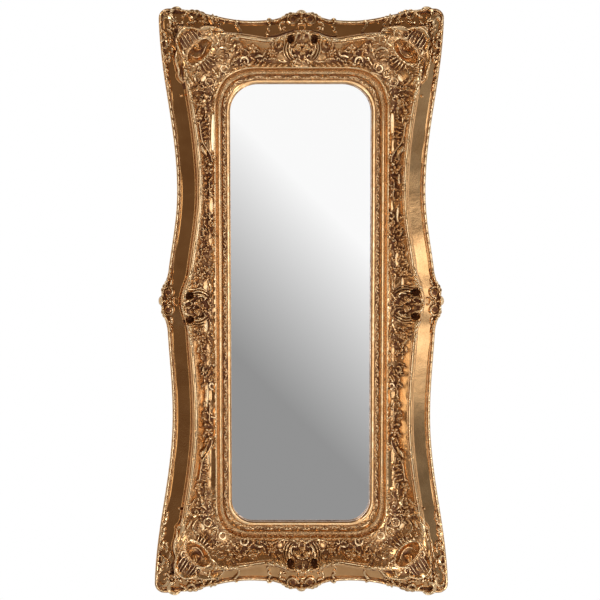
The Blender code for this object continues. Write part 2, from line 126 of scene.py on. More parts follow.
print("width at the top, waist and middle:", [round(2 * float(half_width(z)), 3) for z in (0.86, 0.335, 0.0)])

# %% [markdown]
# ## The opening over the glass
# The sight edge, the inner edge that the glass shows in, is a tall rectangle with round corners. The bands
# that run beside it keep their distance from it, and widen a little in the corners as a carver's do. So the
# second question that a point can be asked is how far out from the sight edge it lies.

# %% Opening sizes and distance
OPENING_TOP_LEVEL = 0.668
OPENING_TOP_HALF_WIDTH = 0.2180
OPENING_TOP_RADIUS = 0.088
OPENING_BOTTOM_LEVEL = -0.680
OPENING_BOTTOM_HALF_WIDTH = 0.2125
OPENING_BOTTOM_RADIUS = 0.068
CORNER_BAND_WIDENING = 0.22


def opening_sizes(level):
    """The opening's half width at each level, and the half height and corner radius at that end."""
    level = np.asarray(level, float)
    top = OPENING_TOP_LEVEL - OPENING_TOP_RADIUS
    bottom = OPENING_BOTTOM_LEVEL + OPENING_BOTTOM_RADIUS
    share = np.clip((level - bottom) / (top - bottom), 0.0, 1.0)
    wide = OPENING_BOTTOM_HALF_WIDTH + (OPENING_TOP_HALF_WIDTH - OPENING_BOTTOM_HALF_WIDTH) * share
    high = np.where(level > 0.0, OPENING_TOP_LEVEL, -OPENING_BOTTOM_LEVEL)
    return wide, high, np.where(level > 0.0, OPENING_TOP_RADIUS, OPENING_BOTTOM_RADIUS)


def sight_distance(across, level):
    """How far out from the sight edge a point lies, measured in the band widths of the straight sides."""
    wide, high, radius = opening_sizes(level)
    past_side = np.abs(across) - (wide - radius)
    past_rail = np.abs(level) - (high - radius)
    in_corner = (past_side > 0.0) & (past_rail > 0.0)
    turn = np.arctan2(past_side, past_rail)
    widening = 1.0 + CORNER_BAND_WIDENING * np.sin(2.0 * turn) ** 2
    round_off = (np.hypot(past_side, past_rail) - radius) / widening
    return np.where(in_corner, round_off, np.maximum(past_side, past_rail) - radius)


print("field in the middle of a side:", round(float(sight_distance(MIDDLE_HALF_WIDTH + CREST_RISE, 0.0)), 3))

# %% [markdown]
# ## The moulding's profile
# Cut the frame across and the moulding shows: a thin lip, a wide polished hollow that climbs to a ridge, a
# sunk field for the carving, then a fillet, a sanded band, a band of running leaves and a plain rim at the
# glass. A plasterer runs such a moulding with one metal template. The template here is a row of points, as
# distance and height. Arcs give the hollow and the ridge their roundness.

# %% Profile points
LIP_WIDTH = 0.010
LIP_HEIGHT = 0.0435
LIP_ROUND = 0.0045
HOLLOW_START = 0.013
HOLLOW_END = 0.0600
HOLLOW_FLOOR = 0.0405
HOLLOW_SLOPE = 0.014
HOLLOW_TOP = 0.086
HOLLOW_STEEPNESS = 40
RIDGE_MIDDLE = 0.0677
RIDGE_HALF_WIDTH = 0.0073
RIDGE_HEIGHT = 0.0985
RIDGE_FOOT = 0.0885
RIDGE_FULLNESS = 0.7
RIDGE_CUT = 0.12
RIDGE_GROOVE_AT = 0.0712
RIDGE_GROOVE_DEPTH = 0.0022
RIDGE_GROOVE_WIDTH = 0.0011
FIELD_START = 0.0765
FIELD_START_HEIGHT = 0.088
FIELD_COVE = 2.6
FIELD_FLOOR = 0.0475
FIELD_DIP = 0.006
FIELD_DIP_LEAN = 1.5
FILLET_OUTER = 0.050
SAND_MIDDLE = 0.0342
SAND_HALF_WIDTH = 0.0070
SAND_FOOT = 0.0345
SAND_RISE = 0.0052
SAND_CUT = 0.05
BACK_LEVEL = 0.0063
LIP_BACK_LEVEL = 0.0106

turns = np.linspace(0.0, pi, 9)
lip_height = LIP_HEIGHT - LIP_ROUND * (1.0 - np.sin(turns))
lip = np.column_stack([LIP_WIDTH * (1.0 - np.cos(turns)) / 2.0, lip_height])
climb = np.sin(np.linspace(0.0, pi / 2.0, 18))
hollow_across = HOLLOW_START + (HOLLOW_END - HOLLOW_START) * climb
hollow_height = HOLLOW_FLOOR + HOLLOW_SLOPE * climb
hollow_height = hollow_height + (HOLLOW_TOP - HOLLOW_FLOOR - HOLLOW_SLOPE) * climb**HOLLOW_STEEPNESS
hollow = np.column_stack([hollow_across, hollow_height])
ridge_turns = np.linspace(RIDGE_CUT, pi - RIDGE_CUT, 17)
ridge_across = RIDGE_MIDDLE - RIDGE_HALF_WIDTH * np.cos(ridge_turns)
ridge_height = RIDGE_FOOT + (RIDGE_HEIGHT - RIDGE_FOOT) * np.sin(ridge_turns) ** RIDGE_FULLNESS
from_groove = (ridge_across - RIDGE_GROOVE_AT) / RIDGE_GROOVE_WIDTH
ridge_height -= RIDGE_GROOVE_DEPTH * np.exp(-(from_groove**2))
ridge = np.column_stack([ridge_across, ridge_height])
OUTER_PROFILE = np.vstack([lip, hollow, ridge, [[FIELD_START, FIELD_START_HEIGHT]]])

sand_turns = np.linspace(SAND_CUT, pi - SAND_CUT, 9)
sand_height = SAND_FOOT + SAND_RISE * np.sin(sand_turns)
sanded = np.column_stack([SAND_MIDDLE + SAND_HALF_WIDTH * np.cos(sand_turns), sand_height])
INNER_PROFILE = np.vstack(
    [
        [[0.0, 0.0240], [0.0008, 0.0268], [0.0030, 0.0286], [0.0060, 0.0288], [0.0090, 0.0292]],
        [[0.0104, 0.0292], [0.0118, 0.0272], [0.0180, 0.0292], [0.0240, 0.0306], [0.0260, 0.0332]],
        sanded[::-1],
        [[0.0422, 0.0360], [0.0434, 0.0376], [0.0450, 0.0448], [0.0468, 0.0476], [0.0486, 0.0478]],
        [[FILLET_OUTER, FIELD_FLOOR]],
    ]
)
print("profile points:", len(OUTER_PROFILE), "outside the field,", len(INNER_PROFILE), "inside it")

# %% [markdown]
# ## The ground that the carving lies on
# The two answers, depth inside the outline and distance from the sight edge, are now enough to give the
# height of the moulding anywhere. Near the corners the ridge moves out and the field swells, and the bowl
# in each corner and the holes beside each medallion are sunk. Every ornament asks this one function for
# its bed, so leaves and flowers lie on the moulding without gaps.

# %% Ground height
CORNER_RIDGE_OUTWARD = 0.004
CORNER_RIDGE_REACH = 0.300
RAIL_RIDGE_OUTWARD = 0.014
RAIL_RIDGE_AT = 0.190
RAIL_RIDGE_REACH = 0.110
RAIL_BLEND = 0.05
HOLLOW_BLEND = 0.036
FIELD_EDGE_BLEND = 0.012
CORNER_PLATEAU = 0.016
CORNER_PLATEAU_REACH = 0.125
BOWL_FROM_CORNER = 0.180
BOWL_HALF_LENGTH = 0.051
BOWL_HALF_WIDTH = 0.025
BOWL_DEPTH = 0.030
SHIELD_HEIGHT = 0.098
SHIELD_DISH = 0.011
SHIELD_EDGE = 1.03
SHIELD_EDGE_BLEND = 0.05
SHIELD_FADE_FROM = 0.062
SHIELD_FADE = 0.080
DISH_EDGE = 0.97
DISH_BLEND = 0.16
SHIELD_CENTRE = (130.0, 130.0)
SHIELD_OUTLINE = [
    (215.2, 80.6), (201.7, 65.3), (192.2, 56.1), (173.5, 53.7), (154.8, 51.2), (138.6, 52.4),
    (124.8, 60.4), (114.4, 57.9), (98.7, 53), (81.9, 54.3), (68.7, 63.5), (61.3, 74.5), (54.3, 88.6),
    (58.3, 102.7), (61.9, 120.2), (53.3, 140.7), (54, 154.8), (58.9, 172.6), (61.9, 190.1),
    (61.9, 206.3), (80.3, 224.7), (111, 237), (147.8, 230.9), (172.3, 212.5), (196.8, 194.1),
    (218.3, 169.5), (233.6, 138.9), (230.6, 105.2),
]
BOWL_CENTRE = (BOWL_FROM_CORNER / 2.0**0.5 * 1000.0,) * 2
MEDALLION_FROM_OUTLINE = 0.118
MEDALLION_RADIUS = 0.050
MEDALLION_RISE = 0.010
HOLE_SPREAD = 0.036
HOLE_OUTWARD = 0.030
HOLE_HALF_LENGTH = 0.014
HOLE_HALF_WIDTH = 0.012
HOLE_DEPTH = 0.030
SIDE_MIDDLE_DROPS = (0.018, 0.008)
TOP_CARVING_SHIFT = (-0.003, 0.008)
BOTTOM_CARVING_SHIFT = (0.004, 0.000)


def dome(first, second, first_reach, second_reach):
    """A smooth oval hump, 1 in its middle and 0 at its edge."""
    return np.maximum(0.0, 1.0 - (first / first_reach) ** 2 - (second / second_reach) ** 2)


def template_depth(across, level):
    """The depth at which a point reads the template. It runs ahead where the ridge stands further out."""
    depth = outline_depth(across, level)
    wide, high = corner_sizes(level)
    from_corner = np.hypot(wide - np.abs(across), high - np.abs(level))
    outward = CORNER_RIDGE_OUTWARD * swell(from_corner, CORNER_RIDGE_REACH)
    on_rail = np.clip((np.abs(level) - OPENING_TOP_LEVEL) / RAIL_BLEND, 0.0, 1.0)
    rail_outward = RAIL_RIDGE_OUTWARD * swell(np.abs(across) - RAIL_RIDGE_AT, RAIL_RIDGE_REACH)
    outward = outward + on_rail * rail_outward
    return depth + outward * np.clip((depth - LIP_WIDTH) / HOLLOW_BLEND, 0.0, 1.0)


def moulding_height(across, level):
    """The height of the bare moulding at a point, from the template alone."""
    nominal = template_depth(across, level)
    near_sight = sight_distance(across, level)
    outer = np.interp(nominal, OUTER_PROFILE[:, 0], OUTER_PROFILE[:, 1])
    inner = np.interp(near_sight, INNER_PROFILE[:, 0], INNER_PROFILE[:, 1])
    into_field = np.maximum(nominal - FIELD_START, 0.0)
    share = into_field / np.maximum(into_field + near_sight - FILLET_OUTER, 1e-6)
    field = FIELD_FLOOR + (FIELD_START_HEIGHT - FIELD_FLOOR) * np.clip(1.0 - share, 0.0, 1.0) ** FIELD_COVE
    field = field - FIELD_DIP * np.sin(pi * np.clip(share, 0.0, 1.0) ** FIELD_DIP_LEAN)
    return np.where(near_sight < FILLET_OUTER, inner, np.where(nominal < FIELD_START, outer, field))


def from_corner_point(across, level):
    """A point's distances from the side and the rail that its corner's carving is measured from."""
    wide, high = corner_sizes(level)
    at_top = np.asarray(level) > 0.0
    aside, inward = (np.where(at_top, *pair) for pair in zip(TOP_CARVING_SHIFT, BOTTOM_CARVING_SHIFT))
    return wide - np.abs(across) - aside, high - np.abs(level) - inward


def bowl_place(across, level):
    """A point's place about the middle of its corner's bowl: out along the diagonal, and sideways."""
    from_side, from_rail = from_corner_point(across, level)
    out = BOWL_FROM_CORNER - (from_side + from_rail) / 2.0**0.5
    return out, (from_side - from_rail) / 2.0**0.5


from_shield = np.array(SHIELD_OUTLINE) - SHIELD_CENTRE
SHIELD_ANGLES = np.arctan2(from_shield[:, 1], from_shield[:, 0])
SHIELD_RADII = np.hypot(from_shield[:, 0], from_shield[:, 1])


def shield_share(across, level):
    """How far out a point lies in its corner's shield: 0 in the middle and 1 on the rolled edge."""
    from_side, from_rail = from_corner_point(across, level)
    along_rail = from_side * 1000.0 - SHIELD_CENTRE[0]
    along_side = from_rail * 1000.0 - SHIELD_CENTRE[1]
    reach = np.interp(np.arctan2(along_side, along_rail), SHIELD_ANGLES, SHIELD_RADII, period=2.0 * pi)
    return np.hypot(along_rail, along_side) / reach


def middle_places(across, level):
    """A point's place about each rail's and each side's medallion: outwards, and sideways of its axis."""
    rail_out = np.abs(level) - (half_height(0.0, level) - MEDALLION_FROM_OUTLINE)
    side_out = np.abs(across) - (half_width(0.0) - MEDALLION_FROM_OUTLINE)
    drop = np.where(np.asarray(across) < 0.0, *SIDE_MIDDLE_DROPS)
    return (rail_out, np.abs(across)), (side_out, np.abs(level + drop))


def ground(across, level):
    """The height of the whole bed: moulding, corner shields, sunk bowls, medallion bosses and holes."""
    height = moulding_height(across, level)
    beyond = np.clip((sight_distance(across, level) - FILLET_OUTER) / FIELD_EDGE_BLEND, 0.0, 1.0)
    out, side = bowl_place(across, level)
    height = height + beyond * CORNER_PLATEAU * swell(np.hypot(out, side), CORNER_PLATEAU_REACH)
    share = shield_share(across, level)
    on_shield = np.clip((SHIELD_EDGE - share) / SHIELD_EDGE_BLEND, 0.0, 1.0)
    on_shield = on_shield * np.clip((out + SHIELD_FADE_FROM) / SHIELD_FADE, 0.0, 1.0)
    dished = SHIELD_HEIGHT - SHIELD_DISH * np.clip((DISH_EDGE - share) / DISH_BLEND, 0.0, 1.0)
    height = height + (dished - height) * on_shield
    height = height - BOWL_DEPTH * dome(out, side, BOWL_HALF_WIDTH, BOWL_HALF_LENGTH)
    for out, side in middle_places(across, level):
        height = height + beyond * MEDALLION_RISE * dome(out, side, MEDALLION_RADIUS, MEDALLION_RADIUS)
        hole = dome(out - HOLE_OUTWARD, side - HOLE_SPREAD, HOLE_HALF_LENGTH, HOLE_HALF_WIDTH)
        height = height - HOLE_DEPTH * hole
    return height


print("ridge height in the middle of the top:", round(float(ground(0.0, half_height(0.0, 1.0) - 0.066)), 4))

# %% [markdown]
# ## Stations round the frame
# A carver marks the frame off in short steps and works the template past each mark. The marks here stand
# about four millimetres apart on the outline, and each has a partner on the sight edge. On the straight
# runs the line between them crosses the rail squarely, and towards a corner the lines fan out, as the
# mitre of a swept frame does. Rows of a grid will be bent onto these lines.

# %% Marks on the outline and on the sight edge
STATION_SPACING = 0.0042
RAIL_UPRIGHT = 0.100
SIDE_UPRIGHT = 0.420
FAN_EASE = 1.5


def sight_marks(run, end):
    """Points on the sight edge and their outward directions, at runs from a rail's middle, at one end."""
    wide, high, radius = (float(size) for size in opening_sizes(end))
    straight = wide - radius
    turn = np.clip((run - straight) / radius, 0.0, pi / 2.0)
    outward = np.column_stack([np.sin(turn), np.cos(turn)])
    level = high - radius - np.maximum(run - straight - radius * pi / 2.0, 0.0)
    on_side = run > straight + radius * pi / 2.0
    side = opening_sizes(np.where(on_side, level * np.sign(end), end))[0]
    across = np.where(run < straight, run, straight + radius * outward[:, 0])
    points = np.column_stack([np.where(on_side, side, across), level + radius * outward[:, 1] * ~on_side])
    widening = 1.0 + CORNER_BAND_WIDENING * np.sin(2.0 * turn) ** 2
    return points, outward * widening[:, None]


def quarter_marks(end):
    """Outline points, sight points and outward directions from a rail's middle to a side's middle."""
    wide, high = (float(size) for size in corner_sizes(end))
    open_wide, open_high, radius = (float(size) for size in opening_sizes(end))
    arc_across = wide - OUTER_CORNER_RADIUS
    arc_level = high - OUTER_CORNER_RADIUS
    side_run = open_wide - radius + radius * pi / 2.0 + open_high - radius
    diagonal_run = open_wide - radius + radius * pi / 4.0
    arc_share = radius * pi / 16.0

    def shares(length, closed=False):
        return np.linspace(0.0, 1.0, int(length / STATION_SPACING), endpoint=closed)

    plain = shares(RAIL_UPRIGHT) * RAIL_UPRIGHT
    fan = shares(arc_across - RAIL_UPRIGHT)
    fan_across = RAIL_UPRIGHT + (arc_across - RAIL_UPRIGHT) * fan
    fan_run = RAIL_UPRIGHT + (diagonal_run - arc_share - RAIL_UPRIGHT) * (1.0 - (1.0 - fan) ** FAN_EASE)
    arc = shares(OUTER_CORNER_RADIUS * pi / 2.0)
    side_fan = shares(arc_level - SIDE_UPRIGHT)
    fan_level = arc_level + (SIDE_UPRIGHT - arc_level) * side_fan
    side_fan_run = side_run - SIDE_UPRIGHT - (side_run - SIDE_UPRIGHT - diagonal_run - arc_share) * (
        1.0 - side_fan**FAN_EASE
    )
    side_level = SIDE_UPRIGHT * (1.0 - shares(SIDE_UPRIGHT, closed=True))
    across = np.concatenate([plain, fan_across])
    on_rail = np.column_stack([across, half_height(across, end)])
    on_arc = np.column_stack([np.sin(arc * pi / 2.0), np.cos(arc * pi / 2.0)]) * OUTER_CORNER_RADIUS
    levels = np.concatenate([fan_level, side_level])
    on_side = np.column_stack([half_width(levels * np.sign(end)), levels])
    outline = np.vstack([on_rail, on_arc + [arc_across, arc_level], on_side])
    run = np.concatenate(
        [plain, fan_run, diagonal_run + arc_share * (2.0 * arc - 1.0), side_fan_run, side_run - side_level]
    )
    sight, outward = sight_marks(run, end)
    return np.hstack([outline, sight, outward])


upper = quarter_marks(1.0)
lower = quarter_marks(-1.0) * [1, -1, 1, -1, 1, -1]
right = np.vstack([upper, lower[-2::-1]])
left = right[-2:0:-1] * [-1, 1, -1, 1, -1, 1]
MARKS = np.vstack([right, left])
OUTLINE_MARKS, SIGHT_MARKS, SIGHT_OUTWARD = MARKS[:, :2], MARKS[:, 2:4], MARKS[:, 4:]
steps_between = np.hypot(*(np.roll(OUTLINE_MARKS, -1, axis=0) - OUTLINE_MARKS).T)
OUTLINE_RUN = np.cumsum(steps_between) - steps_between
OUTLINE_LENGTH = float(steps_between.sum())
print("stations:", len(MARKS), "outline length:", round(OUTLINE_LENGTH, 3))

# %% [markdown]
# ## Bending a grid into a moulding
# Blender can make a flat grid of any number of steps. Bent so that its columns follow the stations and its
# rows follow the template, and welded where its edges meet, it becomes one seamless closed ring, with a back
# as well as a front. Two rings share the work, so that neither grows too heavy: the outer has the lip, hollow
# and ridge, and the inner has the field and the bands beside the glass.

# %% Bending and welding helpers
WELD_DISTANCE = 0.00002
HALVINGS = 22


def new_piece(name, shape):
    """An object at the origin that takes over a finished bmesh."""
    mesh = bpy.data.meshes.new(name)
    shape.to_mesh(mesh)
    shape.free()
    mesh.shade_smooth()
    piece = bpy.data.objects.new(name, mesh)
    bpy.context.scene.collection.objects.link(piece)
    return piece


def closed_piece(name, shape):
    """An object from a bmesh of closed forms, with every face turned outwards."""
    bmesh.ops.recalc_face_normals(shape, faces=shape.faces)
    return new_piece(name, shape)


def face_counts(*pieces):
    """The number of faces of each piece."""
    return {piece.name: len(piece.data.polygons) for piece in pieces}


def ring_piece(name, rows, back_rows):
    """A closed ring from rows of (across, level, height) arrays. The back rows are bare wood."""
    stations = len(MARKS)
    shape = bmesh.new()
    bmesh.ops.create_grid(shape, x_segments=stations, y_segments=len(rows), size=0.5)
    corners = np.array([vertex.co for vertex in shape.verts])
    station = np.round((corners[:, 0] + 0.5) * stations).astype(int) % stations
    row = np.round((corners[:, 1] + 0.5) * len(rows)).astype(int) % len(rows)
    table = np.array([np.column_stack([across, -height, level]) for across, level, height in rows])
    for face in shape.faces:
        middle = face.calc_center_median().y
        face.material_index = int((middle + 0.5) * len(rows)) in back_rows
    for vertex, place in zip(shape.verts, table[row, station]):
        vertex.co = place
    bmesh.ops.remove_doubles(shape, verts=shape.verts, dist=WELD_DISTANCE)
    return closed_piece(name, shape)


def at_template_depth(wanted):
    """The points of every station's line at which the template is read at a wanted depth."""
    inner = SIGHT_MARKS + SIGHT_OUTWARD * FILLET_OUTER
    low = np.zeros(len(MARKS))
    high = np.ones(len(MARKS))
    for _ in range(HALVINGS):
        share = (low + high) / 2.0
        place = OUTLINE_MARKS + (inner - OUTLINE_MARKS) * share[:, None]
        short = template_depth(place[:, 0], place[:, 1]) < wanted
        low = np.where(short, share, low)
        high = np.where(short, high, share)
    return OUTLINE_MARKS + (inner - OUTLINE_MARKS) * high[:, None]


def flat_row(place, height):
    """A row at one height all the way round, or at a height for each station."""
    return place[:, 0], place[:, 1], np.broadcast_to(height, len(MARKS))


print("weld distance:", WELD_DISTANCE)

# %% [markdown]
# ## The lip, the hollow and the ridge
# The outer ring is turned out of the template points up to the field. On the real frame the lip is nicked
# every few centimetres, and the ridge carries pairs of small notches made with a gouge. They follow the
# length of the outline, so their pattern is a wave along that length.

# %% Outer moulding
LIP_NICK_SPACING = 0.0295
LIP_NICK_DEPTH = 0.0022
LIP_NICK_SHARPNESS = 14
RIDGE_NOTCH_SPACING = 0.083
RIDGE_NOTCH_DEPTH = 0.0034
RIDGE_NOTCH_SHARPNESS = 90
RIDGE_NOTCH_PAIR_GAP = 0.011
RIDGE_NOTCH_REACH = 0.0032
OUTER_BACK = [(0.060, 0.012), (0.060, BACK_LEVEL), (0.007, BACK_LEVEL), (0.0015, 0.016), (0.0, 0.029)]
UNDER_FIELD_HEIGHT = 0.040


def wave_nicks(run, spacing, sharpness):
    """Narrow dips along a run, 1 at each and 0 between them, in whole numbers round the frame."""
    count = round(OUTLINE_LENGTH / spacing)
    return ((1.0 + np.cos(2.0 * pi * count * run / OUTLINE_LENGTH)) / 2.0) ** sharpness


def tool_marks(nominal, run):
    """The depth of the gouge's marks on the lip and the ridge."""
    lip_nicks = LIP_NICK_DEPTH * wave_nicks(run, LIP_NICK_SPACING, LIP_NICK_SHARPNESS) * (nominal < LIP_WIDTH)
    starts = (run, run + RIDGE_NOTCH_PAIR_GAP)
    pairs = sum(wave_nicks(start, RIDGE_NOTCH_SPACING, RIDGE_NOTCH_SHARPNESS) for start in starts)
    from_groove = (nominal - RIDGE_GROOVE_AT) / RIDGE_NOTCH_REACH
    return lip_nicks + RIDGE_NOTCH_DEPTH * pairs * np.exp(-(from_groove**2))


def tooled_row(place, nominal):
    """A row that lies on the ground, less the gouge's marks."""
    return place[:, 0], place[:, 1], ground(place[:, 0], place[:, 1]) - tool_marks(nominal, OUTLINE_RUN)


outer_rows = [flat_row(at_template_depth(depth), height) for depth, height in OUTER_BACK]
for nominal in np.unique(OUTER_PROFILE[:, 0].round(6)):
    outer_rows.append(tooled_row(at_template_depth(nominal), nominal))
field_edge = at_template_depth(FIELD_START)
outer_rows.append(flat_row(field_edge, UNDER_FIELD_HEIGHT))
outer_moulding = ring_piece("outer_moulding", outer_rows, (0, 1))
print("faces:", face_counts(outer_moulding))

# %% [markdown]
# ## The field, the fillet and the bands beside the glass
# The inner ring starts under the ridge, crosses the sunk field in even steps, and runs down the bands to the
# sight edge. Behind it turns round the rebate that holds the glass, and back along the flat rear face.

# %% Inner moulding
FIELD_STEPS = 26
REBATE_WIDTH = 0.010
UNDER_RIDGE_DEPTH = 0.070
UNDER_RIDGE_HEIGHT = 0.050

fillet_edge = SIGHT_MARKS + SIGHT_OUTWARD * FILLET_OUTER
under_ridge = at_template_depth(UNDER_RIDGE_DEPTH)
inner_rows = [flat_row(under_ridge, BACK_LEVEL), flat_row(under_ridge, UNDER_RIDGE_HEIGHT)]
for share in np.linspace(0.0, 1.0, FIELD_STEPS, endpoint=False):
    place = field_edge + (fillet_edge - field_edge) * share
    inner_rows.append(tooled_row(place, template_depth(place[:, 0], place[:, 1])))
for distance, height in INNER_PROFILE[::-1]:
    inner_rows.append(flat_row(SIGHT_MARKS + SIGHT_OUTWARD * distance, height))
rebate = SIGHT_MARKS + SIGHT_OUTWARD / np.hypot(*SIGHT_OUTWARD.T)[:, None] * REBATE_WIDTH
inner_rows += [flat_row(SIGHT_MARKS, LIP_BACK_LEVEL), flat_row(rebate, LIP_BACK_LEVEL)]
inner_rows.append(flat_row(rebate, BACK_LEVEL))
last = len(inner_rows) - 1
inner_moulding = ring_piece("inner_moulding", inner_rows, (0, last - 2, last - 1, last))
print("faces:", face_counts(inner_moulding))

# %% [markdown]
# ## A carver's set of shapes
# Rococo carving is built from few shapes: scrolls, ribs and leaves are long, and beads, flowers and bosses
# are round. So two blanks are enough. The rod is a circle extruded to unit length, and the disc is a line
# spun round its end. Every ornament is one of them, with its vertices moved onto a path or round a centre,
# and then laid on the ground function, so that it follows the moulding's rise and fall.

# %% Rod and disc blanks
SINK = 0.0035
UPRIGHT_AXIS = {"cent": (0, 0, 0), "axis": (0, 0, 1)}


@cache
def rod_blank(steps, around):
    """A straight closed rod of unit length and radius, extruded step by step from a circle."""
    shape = bmesh.new()
    bmesh.ops.create_circle(shape, segments=around, radius=1.0)
    edge = shape.verts[:] + shape.edges[:]
    bmesh.ops.spin(shape, geom=edge, dvec=(0.0, 0.0, 1.0 / steps), angle=0.0, steps=steps, **UPRIGHT_AXIS)
    bmesh.ops.holes_fill(shape, edges=shape.edges[:], sides=around)
    return kept_blank(shape)


@cache
def disc_blank(rings, around):
    """A unit disc spun from a line of steps, with a skirt and a flat face under it so that it is closed."""
    shape = bmesh.new()
    line = [shape.verts.new((step / rings, 0.0, 0.0)) for step in range(rings + 1)]
    geometry = line + [shape.edges.new(pair) for pair in zip(line, line[1:])]
    bmesh.ops.spin(shape, geom=geometry, angle=2.0 * pi, steps=around, use_merge=True, **UPRIGHT_AXIS)
    bmesh.ops.remove_doubles(shape, verts=shape.verts, dist=0.001)
    border = [edge for edge in shape.edges if edge.is_boundary]
    skirt = bmesh.ops.extrude_edge_only(shape, edges=border)["geom"]
    foot = [part for part in skirt if isinstance(part, bmesh.types.BMVert)]
    bmesh.ops.translate(shape, vec=(0.0, 0.0, -1.0), verts=foot)
    bmesh.ops.edgeloop_fill(shape, edges=[edge for edge in shape.edges if edge.is_boundary])
    return kept_blank(shape)


def kept_blank(shape):
    """A blank's mesh and its vertices' places, kept to be stamped many times."""
    mesh = bpy.data.meshes.new("blank")
    places = np.array([vertex.co for vertex in shape.verts])
    shape.to_mesh(mesh)
    shape.free()
    return mesh, places


def stamp(shape, blank, across, level, height):
    """Add a copy of a blank to a bmesh, with its vertices moved to new places."""
    places = np.column_stack([across, -height, level]).astype(np.float32)
    blank[0].vertices.foreach_set("co", places.ravel())
    shape.from_mesh(blank[0])


print("vertices in a rod of 24 steps:", len(rod_blank(24, 10)[1]), "in a rose:", len(disc_blank(8, 30)[1]))

# %% [markdown]
# ## Laying a shape on the frame
# A path is a smooth curve through a few marked points. A rod laid along it gets a half width and a rise at
# each point, a cross section and perhaps lobes: round for a stem, grooved for a scroll, ribbed and scalloped
# for an acanthus leaf, nearly flat for a polished panel. Lobes lean towards the tip, as a leaf's do. The
# underside is sunk into the ground.

# %% Paths and laid rods
LOBE_LEAN = 0.45
ROD_ROUNDNESS = 0.8


def smooth_path(points, share):
    """Points and side directions at shares of the length of a smooth curve through some points."""
    points = np.asarray(points, float)
    if len(points) == 2:
        points = np.array([points[0], points.mean(axis=0), points[1]])
    ends = np.vstack([2 * points[0] - points[1], points, 2 * points[-1] - points[-2]])
    knot = np.linspace(0.0, len(points) - 1.0, 24 * len(points))
    first = np.minimum(knot.astype(int), len(points) - 2)
    part = (knot - first)[:, None]
    p0, p1, p2, p3 = (ends[first + step] for step in range(4))
    squared, cubed = 2 * p0 - 5 * p1 + 4 * p2 - p3, 3 * p1 - p0 - 3 * p2 + p3
    curve = 0.5 * (2 * p1 + (p2 - p0) * part + squared * part**2 + cubed * part**3)
    length = np.concatenate([[0.0], np.cumsum(np.hypot(*np.diff(curve, axis=0).T))])
    forward = np.gradient(curve, axis=0)
    forward /= np.maximum(np.hypot(*forward.T), 1e-9)[:, None]
    at = share * length[-1]
    place = np.column_stack([np.interp(at, length, curve[:, axis]) for axis in (0, 1)])
    ahead = np.column_stack([np.interp(at, length, forward[:, axis]) for axis in (0, 1)])
    over = (at - np.clip(at, 0.0, length[-1]))[:, None]
    return place + ahead * over, np.column_stack([-ahead[:, 1], ahead[:, 0]])


def section(kind, share, side, lobes):
    """The width factor and the height factor of a rod's cross section, for every vertex."""
    if kind == "scroll":
        return 1.0, 1.0 - 0.42 * np.exp(-((side / 0.42) ** 2))
    if kind == "band":
        return 1.0, 0.72 + 0.28 * side**2
    if kind == "panel":
        return 1.0, 1.0 - 0.5 * side**2
    if kind == "leaf":
        scallop = np.abs(np.sin(pi * lobes * share))
        veins = 0.62 + 0.38 * scallop ** (0.5 + 1.5 * (1.0 - np.abs(side)))
        midrib = 0.30 * np.exp(-((side / 0.16) ** 2))
        return 0.62 + 0.38 * scallop**0.7, veins * (0.78 + 0.22 * np.abs(side)) + midrib - 0.12
    return 1.0, np.ones_like(share)


def along(share, values):
    """Values spread evenly over a length, read at shares of it."""
    return np.interp(share, np.linspace(0.0, 1.0, len(values)), values)


def lay_rod(shape, spot, points, widths, rises, kind="round", lobes=0, steps=20, around=10, bed=None, lift=0):
    """Lay a rod along points given in a spot's own millimetres, on the ground or on a bed of its own."""
    blank = rod_blank(steps, around)
    side, up, share = blank[1].T
    place, sideways = smooth_path(points, share + (LOBE_LEAN / lobes if lobes else 0.0) * side**2)
    wide, high = section(kind, share, side, lobes)
    local = place + sideways * (along(share, widths) * wide * side)[:, None]
    across, level = spot(local[:, 0], local[:, 1])
    base = ground(across, level) if bed is None else along(share, bed)
    top = lift + along(share, rises) * high * np.maximum(up, 0.0) ** ROD_ROUNDNESS
    stamp(shape, blank, across, level, base + np.where(up > 1e-6, top, -SINK * np.abs(up)))


def lay_disc(shape, spot, centre, size, rise, form, turn=0.0, rings=6, around=20, squeeze=1.0, bed=None):
    """Lay a disc round a centre. The form gives its outline's and height's factors at each vertex."""
    blank = disc_blank(rings, around)
    ahead, aside, skirt = blank[1].T
    reach = np.hypot(ahead, aside)
    angle = np.arctan2(aside, ahead)
    outline, high = form(reach, angle)
    first = reach * outline * size * np.cos(angle)
    second = reach * outline * size * squeeze * np.sin(angle)
    local_first = centre[0] + first * cos(turn) - second * sin(turn)
    local_second = centre[1] + first * sin(turn) + second * cos(turn)
    across, level = spot(local_first, local_second)
    base = ground(across, level) if bed is None else bed
    height = base + np.where(reach < 0.999, rise * high, -SINK)
    stamp(shape, blank, across, level, np.where(skirt < -0.5, height.min() - SINK, height))


print("middle of a bent path:", smooth_path([(0, 0), (10, 5), (20, 0)], np.array([0.5]))[0].tolist())

# %% Forms of the round ornaments
def boss(reach, angle):
    """A plain round bead."""
    return 1.0, np.sqrt(np.maximum(1.0 - reach**2, 0.0))


def rosette(petals):
    """A flower with petals and a bead in its middle."""

    def form(reach, angle):
        petal = np.abs(np.cos(petals * angle / 2.0))
        cup = np.sin(pi * np.clip(reach, 0.0, 1.0) ** 1.1) ** 0.7 * (0.35 + 0.65 * petal**0.7)
        return 0.70 + 0.30 * petal**0.6, cup * 0.85 + 0.9 * np.exp(-((reach / 0.20) ** 2)) - 0.10

    return form


